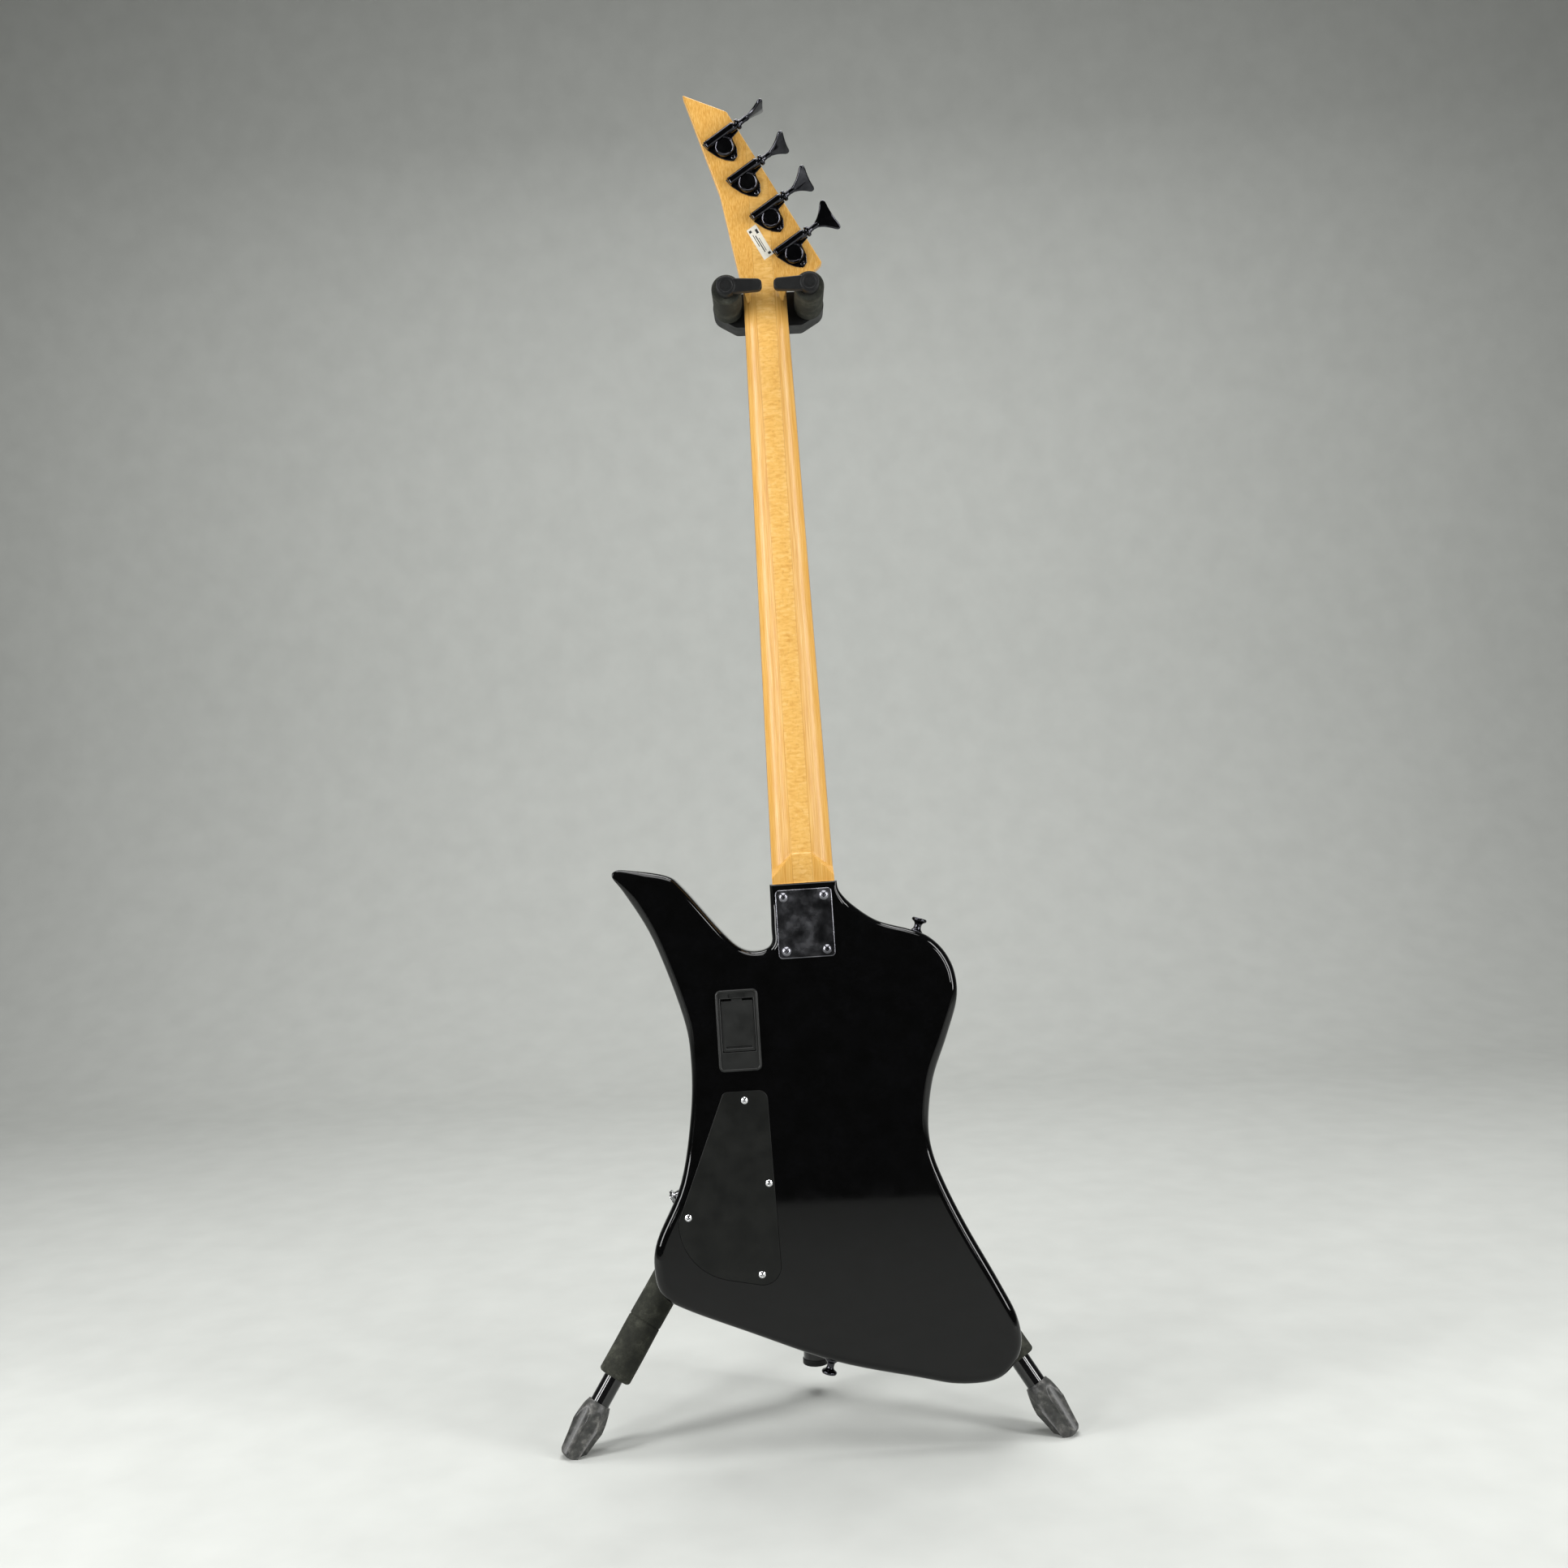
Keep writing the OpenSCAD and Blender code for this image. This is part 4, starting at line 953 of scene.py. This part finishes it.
class BASS_OT_hardware(bpy.types.Operator):
    """Neck plate, screws, strap buttons and output jack"""

    bl_idname = "bass.hardware"
    bl_label = "Hardware"

    def execute(self, context):
        x, z = PLATE_CENTRE
        face = BODY_BACK - 1.8
        plate = slab(oblong(x, z, 26.7, 32.2, 4), face, BODY_BACK, 1.1, 5)
        piece("heel_plate", plate, HUNG, finish(black_nickel), "neck_plate")
        bolts = [shift(x + sx * NECK_BOLTS[0], face, z + sz * NECK_BOLTS[1])
                 for sx in (-1, 1) for sz in (-1, 1)]
        self.screws("heel_bolts", bolts, 90, (4.3, 2.2, 1.9, 37), black_nickel, "neck_screws")
        covers = [shift(a, BODY_BACK - 0.2, b) for a, b in COVER_SCREWS]
        self.screws("cover_fixings", covers, 90, (3.2, 1.5, 1.4, 13), chromed_steel, "cover_screws")
        fronts = [shift(a, BODY_FRONT + 6.5, line) for line in PICKUP_LINES for a in (-39.5, 39.5)]
        self.screws("pickup_fixings", fronts, -90, (2.9, 1.2, 1.7, 24), chromed_steel,
                    "pickup_screws")
        self.strap_buttons()
        soften("output_jack", finish(chromed_steel), 0.3)
        return {"FINISHED"}

    def screws(self, name, places, facing, size, look, node):
        """Equal screws at the places, turned about x to face the given way."""
        one = screw(*size)
        shapes = [moved(one, place @ turn("X", facing)) for place in places]
        piece(name, join(*shapes), HUNG, finish(look), node, sharp=45)

    def strap_buttons(self):
        """A flared base, a waist and a dished head, turned, with a screw through the middle."""
        waist = smooth(np.array([
            (6, 0), (5.9, 0.8), (5, 1.9), (3.9, 3.2), (3.4, 5), (3.5, 7.4), (4.6, 9.2), (6.3, 10.2),
            (7.1, 11.2), (7.1, 12.3), (6.4, 13.3), (5.2, 13.6),
        ]), 3)
        profile = np.vstack([[(0, 0)], waist, [(4.2, 13), (4, 11.5), (0, 11.5)]])
        middle_y = (BODY_FRONT + BODY_BACK) / 2
        places = [shift(x, middle_y, z) @ turn("Y", 90 - angle) for x, z, angle in STRAP_PLACES]
        piece("strap_pins", join(*(moved(lathe(profile), p) for p in places)), HUNG,
              finish(black_chrome), "strap_buttons", sharp=30)
        heads = [moved(screw(3.8, 1.6, 2.1, 33), p @ shift(0, 0, 11.6)) for p in places]
        piece("strap_pin_screws", join(*heads), HUNG, finish(chromed_steel), "strap_screws",
              sharp=45)


class BASS_OT_front(bpy.types.Operator):
    """Bridge, pickups, knobs, electronics and strings"""

    bl_idname = "bass.front"
    bl_label = "Front and strings"

    def execute(self, context):
        soften("bridge_plate", finish(black_chrome), 0.6, 3)
        soften("bridge_saddles", finish(chromed_steel), 0.4)
        soften("bridge_screws", finish(chromed_steel), 0.15, 1)
        for line, node in zip(PICKUP_LINES, ("pickup_front", "pickup_rear")):
            shell = slab(oblong(0, line, 45, 18.5, 5), BODY_FRONT - 18, BODY_FRONT + 6.5, 1.6, 5)
            piece(f"{node}_shell", shell, HUNG, finish(pickup_abs), node)
        for k in (1, 2, 3):
            soften(f"knob_{k}", finish(black_chrome), 0.4, 3)
        soften("pots", finish(chromed_steel), 0.3)
        soften("preamp_board", finish(circuit_board), 0.15, 1)
        strings = join(*(self.string(i) for i in range(4)))
        piece("string_set", strings, HUNG, finish(wound_string), "strings")
        return {"FINISHED"}

    def string(self, i):
        """From the bridge over its saddle and the nut, then two and a half turns round the post."""
        r = STRING_RADII[i]
        saddle_x, nut_x = (i - 1.5) * SADDLE_GAP, (i - 1.5) * NUT_GAP
        post = tuner_at(3 - i)
        wrap = POST_RADIUS + 0.35 + r
        low = 12 - 2.2 * r
        angle = np.linspace(-math.pi, 4 * math.pi, 90)
        helix = np.stack([post[0] + wrap * np.cos(angle), np.linspace(12, low, 90) + r * 0.6,
                          post[1] + wrap * np.sin(angle)], 1)
        helix = moved((helix, []), shift(0, HEAD_STEP, 0) @ turn("X", HEAD_ANGLE))[0]
        anchor = np.array([saddle_x, STRING_SLOT + 0.3 + r, -SCALE - 52])
        saddle = np.array([saddle_x, SADDLE_TOP, -SCALE])
        nut = np.array([nut_x, 1.4 + r, 2.5])
        stretches = [np.linspace(a, b, n, endpoint=False) for a, b, n in
                     ((anchor, saddle, 6), (saddle, nut, 40), (nut, helix[0], 8))]
        return tube(np.vstack([*stretches, helix]), r, 10, (0, 1, 0))


# ---- the stand
class BASS_OT_yoke(bpy.types.Operator):
    """Yoke, its foam sleeves and the two gates"""

    bl_idname = "bass.yoke"
    bl_label = "Yoke"

    def execute(self, context):
        nylon = finish(glass_nylon)
        soften("yoke", nylon, 2.2, 4)
        soften("head_post", nylon, 0.8, 3)
        near = [(9.05, -103), (12.6, -103.1), (13.9, -102.4), (14.3, -100.6), (14.3, -90)]
        far = [(14.3, -50), (14.3, -40.6), (13.9, -38.7), (12.6, -38.1), (9.05, -38.2)]
        profile = np.vstack([smooth(np.array(marks), 4) for marks in (near, far)])
        sleeves = []
        for side in (-1, 1):
            place = shift(side * GATE_HALF, 0, GATE_HEIGHT) @ turn("X", -90)
            points = lathe(profile, 64)[0]
            sleeves.append(moved((points, grid_faces(len(profile), 64, True, True)), place))
        piece("arm_sleeves", join(*sleeves), MAST, finish(foam), "arm_foam")
        for side, node in ((-1, "gate_left"), (1, "gate_right")):
            place = MAST @ shift(side * GATE_HALF, 0, GATE_HEIGHT)
            piece(f"{node}_finger", self.gate(side), place, nylon, node, sharp=35)
        return {"FINISHED"}

    def gate(self, side):
        """A finger that tapers to a round tip, on a disc with a raised rim and a pivot cap."""
        front = GATE_PLANE - GATE_THICK
        reach = -side * 34.4
        tip = rounded([(0, -7.4, 0), (reach, -5.4, 4.6), (reach, 5.4, 4.6), (0, 7.4, 0)], 8)
        finger = slab(tip, front + 0.6, GATE_PLANE, 1.6, 4)
        disc = lathe([(0, -1.4), (9.4, -1.4), (9.5, 7.4), (9.1, 8.4), (8.2, 8.9), (6.6, 9.0),
                      (6.2, 8.7), (5.6, 8.6), (4.4, 8.6), (3.7, 8.7), (3.5, 9.0), (0, 9.0)], 56)
        shaft = lathe([(0, -60), (3, -60), (3, 0), (0, 0)], 24)
        return join(finger, moved(join(disc, shaft), shift(0, GATE_PLANE, 0) @ turn("X", 90)))


class BASS_OT_legs(bpy.types.Operator):
    """Mast, hub, legs, foam and rubber feet"""

    bl_idname = "bass.legs"
    bl_label = "Mast and legs"

    def execute(self, context):
        coat, nylon = finish(powder_coat), finish(glass_nylon)
        for node in ("mast_lower", "mast_upper", "leg_left", "leg_right", "leg_rear"):
            soften(node, coat, 0.4)
        for node in ("mast_cap", "clutch_collar", "leg_hub"):
            soften(node, nylon, 1.0, 3)
        soften("clutch_knob", nylon, 1.6, 3)
        soften("clutch_bush", finish(bush_plastic), 0.4)
        soften("leg_pins", finish(chromed_steel), 0.4)
        settings = context.scene.bass_stand
        for side, azimuth in LEG_AZIMUTHS.items():
            place = leg_frame(azimuth)
            foot = piece(f"rubber_{side}", self.foot(settings.flutes), place, finish(foot_rubber),
                         f"foot_{side}", sharp=60)
            self.rest_on_floor(foot)
            if side != "rear":
                piece(f"sleeve_{side}", self.sleeve(settings.foam_radius / MM), place, finish(foam),
                      f"foam_{side}", sharp=50)
        return {"FINISHED"}

    def sleeve(self, radius):
        """Foam tube: radius by height with round ends and a seam groove, and a slow uneven swell of
        0.2 mm from two sines round and along it."""
        top, end, seam = FOAM_TOP, FOAM_END, FOAM_SEAM
        lip = np.array([0, 0, 0.4, 1.2, 2.6])
        height = np.concatenate([
            top + lip, np.linspace(top + 4, seam - 2, 60),
            seam + np.array([-1, -0.4, 0, 0.4, 1, 2]), np.linspace(seam + 4, end - 5, 16),
            end - lip[::-1],
        ])
        from_end = np.minimum(height - top, end - height)
        out = radius - 0.2 - 2.6 * (1 - np.clip(from_end / 2.6, 0, 1)) ** 2.2
        out -= 0.8 * np.exp(-((height - seam) / 0.6) ** 2)
        out[0] = out[-1] = LEG_BORE
        angle, z = np.arange(72) * math.tau / 72, height[:, None]
        swell = 0.12 * np.sin(3 * angle + z / 17) + 0.08 * np.sin(5 * angle - z / 9)
        swell[[0, -1]] = 0
        r = out[:, None] + swell
        points = np.stack([r * np.cos(angle), r * np.sin(angle), z + 0 * r], -1)
        return points.reshape(-1, 3), grid_faces(len(height), 72, True, True)

    def foot(self, flutes):
        """Bullet turned about the leg. Each flute round it is a cylinder's cut: at angle a from its
        middle the radius is c cos a - sqrt(q^2 - c^2 sin^2 a), where c grows towards its top."""
        mark = smooth(np.array([
            (11.3, 0), (11.7, 1.6), (12.6, 4), (14, 9), (15.5, 16), (16.5, 25), (16.7, 32),
            (16.5, 38), (15.6, 44), (13.4, 49.4), (9.8, 53.2), (5, 55.3), (0.05, 56),
        ]), 5)
        radius, height = mark[:, :1], mark[:, 1:]
        angle = (np.arange(168) * math.tau / 168)[None]
        sector = math.tau / flutes
        away = np.abs((angle + sector / 2) % sector - sector / 2)
        start, q = 10, 10
        c = q + 12.9 - 0.085 * (height - start) + 0.06 * np.maximum(start - height, 0) ** 2
        inside = q**2 - (c * np.sin(away)) ** 2
        cut = np.where(inside > 0, c * np.cos(away) - np.sqrt(np.maximum(inside, 0)), 99)
        r = np.minimum(radius, cut)
        bore = np.full(angle.shape, LEG_BORE)
        r = np.vstack([0 * bore, bore, bore, r])
        height = np.vstack([[[8.0], [8.0], [0.0]], height])
        points = np.stack([r * np.cos(angle), r * np.sin(angle), FOOT_TOP + height + 0 * r], -1)
        return points.reshape(-1, 3), grid_faces(len(r), angle.size, closed_columns=True)

    def rest_on_floor(self, thing):
        """Flattens what lies below the floor into a level sole."""
        count = len(thing.data.vertices)
        points = np.empty(count * 3)
        thing.data.vertices.foreach_get("co", points)
        points = points.reshape(-1, 3)
        points[:, 2] = np.maximum(points[:, 2], 0)
        thing.data.vertices.foreach_set("co", points.ravel())
        thing.data.update()


class BASS_OT_stage(bpy.types.Operator):
    """Pale floor, studio lights and camera"""

    bl_idname = "bass.stage"
    bl_label = "Stage"

    def execute(self, context):
        scene = context.scene
        settings = scene.bass_stage
        self.floor()
        world = bpy.data.worlds.new("studio")
        world.use_nodes = True
        background = world.node_tree.nodes["Background"].inputs
        background["Color"].default_value = linear("#b4b6b2")
        background["Strength"].default_value = 0.12
        scene.world = world
        scene.view_settings.view_transform = "Standard"
        for name, place, size, height, watts in LIGHTS:
            self.light(name, place, (0, MAST_Y * MM, 0.6), size, height, watts * settings.power)
        self.camera(scene)
        return {"FINISHED"}

    def floor(self):
        """Seamless sheet: level to y = 1.5 m, then a quarter circle of 1 m radius, then upright."""
        t = np.linspace(0, math.pi / 2, 25)
        y = np.concatenate([np.linspace(-2.1, 1.4, 9), 1.5 + np.sin(t), [2.5]])
        z = np.concatenate([np.zeros(9), 1 - np.cos(t), [4.2]])
        x = np.linspace(-7, 7, 29)
        points = np.stack([x[None] + 0 * y[:, None], y[:, None] + 0 * x, z[:, None] + 0 * x], -1)
        mesh = bpy.data.meshes.new("floor")
        faces = [face[::-1] for face in grid_faces(len(y), len(x))]
        mesh.from_pydata(points.reshape(-1, 3).tolist(), [], faces)
        mesh.polygons.foreach_set("use_smooth", np.ones(len(mesh.polygons), bool))
        mesh.materials.append(finish(floor_paper))
        floor = bpy.data.objects.new("floor", mesh)
        bpy.context.scene.collection.objects.link(floor)

    def light(self, name, place, target, size, height, power):
        """An area light that faces the target."""
        lamp = bpy.data.lights.new(name, "AREA")
        lamp.shape = "RECTANGLE"
        lamp.size, lamp.size_y = size, height
        lamp.energy = power
        thing = bpy.data.objects.new(name, lamp)
        thing.location = place
        aim = Vector(target) - Vector(place)
        thing.rotation_euler = aim.to_track_quat("-Z", "Y").to_euler()
        bpy.context.scene.collection.objects.link(thing)

    def camera(self, scene):
        """Level camera behind the instrument, rolled slightly, in line with the mast."""
        roll = math.radians(CAMERA_ROLL)
        lens = bpy.data.cameras.new("camera")
        lens.sensor_width = 36
        lens.lens = LENS_MM
        lens.clip_start = 0.05
        camera = bpy.data.objects.new("camera", lens)
        right = (math.cos(roll), 0, -math.sin(roll))
        up = (math.sin(roll), 0, math.cos(roll))
        back = (0, -1, 0)
        rows = zip(right, up, back, (CAMERA_X, MAST_Y * MM - CAMERA_AWAY, CAMERA_HEIGHT))
        camera.matrix_world = Matrix([(*axes, at) for *axes, at in rows]).to_4x4()
        scene.collection.objects.link(camera)
        scene.camera = camera


class BASS_PT_panel(bpy.types.Panel):
    """Sidebar panel that lists the pieces and their settings"""

    bl_idname = "BASS_PT_panel"
    bl_label = "Bass on Stand"
    bl_space_type = "VIEW_3D"
    bl_region_type = "UI"
    bl_category = "Bass"

    def draw(self, context):
        scene = context.scene
        for group, names in (
            (scene.bass_body, ("edge",)),
            (scene.bass_wood, ("strip_width", "side_colour", "strip_colour")),
            (scene.bass_stand, ("foam_radius", "flutes")),
            (scene.bass_stage, ("floor_colour", "power")),
        ):
            for name in names:
                self.layout.prop(group, name)
        for operator in OPERATORS:
            self.layout.operator(operator.bl_idname)


SETTINGS = {
    "bass_body": BodySettings,
    "bass_wood": WoodSettings,
    "bass_stand": StandSettings,
    "bass_stage": StageSettings,
}
OPERATORS = (
    BASS_OT_body,
    BASS_OT_neck,
    BASS_OT_tuners,
    BASS_OT_hardware,
    BASS_OT_front,
    BASS_OT_yoke,
    BASS_OT_legs,
    BASS_OT_stage,
)


def register():
    """Makes the operators, the panel and the settings known to Blender."""
    for kind in (*SETTINGS.values(), *OPERATORS, BASS_PT_panel):
        bpy.utils.register_class(kind)
    for name, kind in SETTINGS.items():
        setattr(bpy.types.Scene, name, bpy.props.PointerProperty(type=kind))


def unregister():
    """Takes back what register does."""
    for name in SETTINGS:
        delattr(bpy.types.Scene, name)
    for kind in reversed((*SETTINGS.values(), *OPERATORS, BASS_PT_panel)):
        bpy.utils.unregister_class(kind)


def main():
    """Registers the classes and runs every operator, which builds everything."""
    register()
    for operator in OPERATORS:
        group, name = operator.bl_idname.split(".")
        getattr(getattr(bpy.ops, group), name)()


if __name__ == "__main__":
    main()
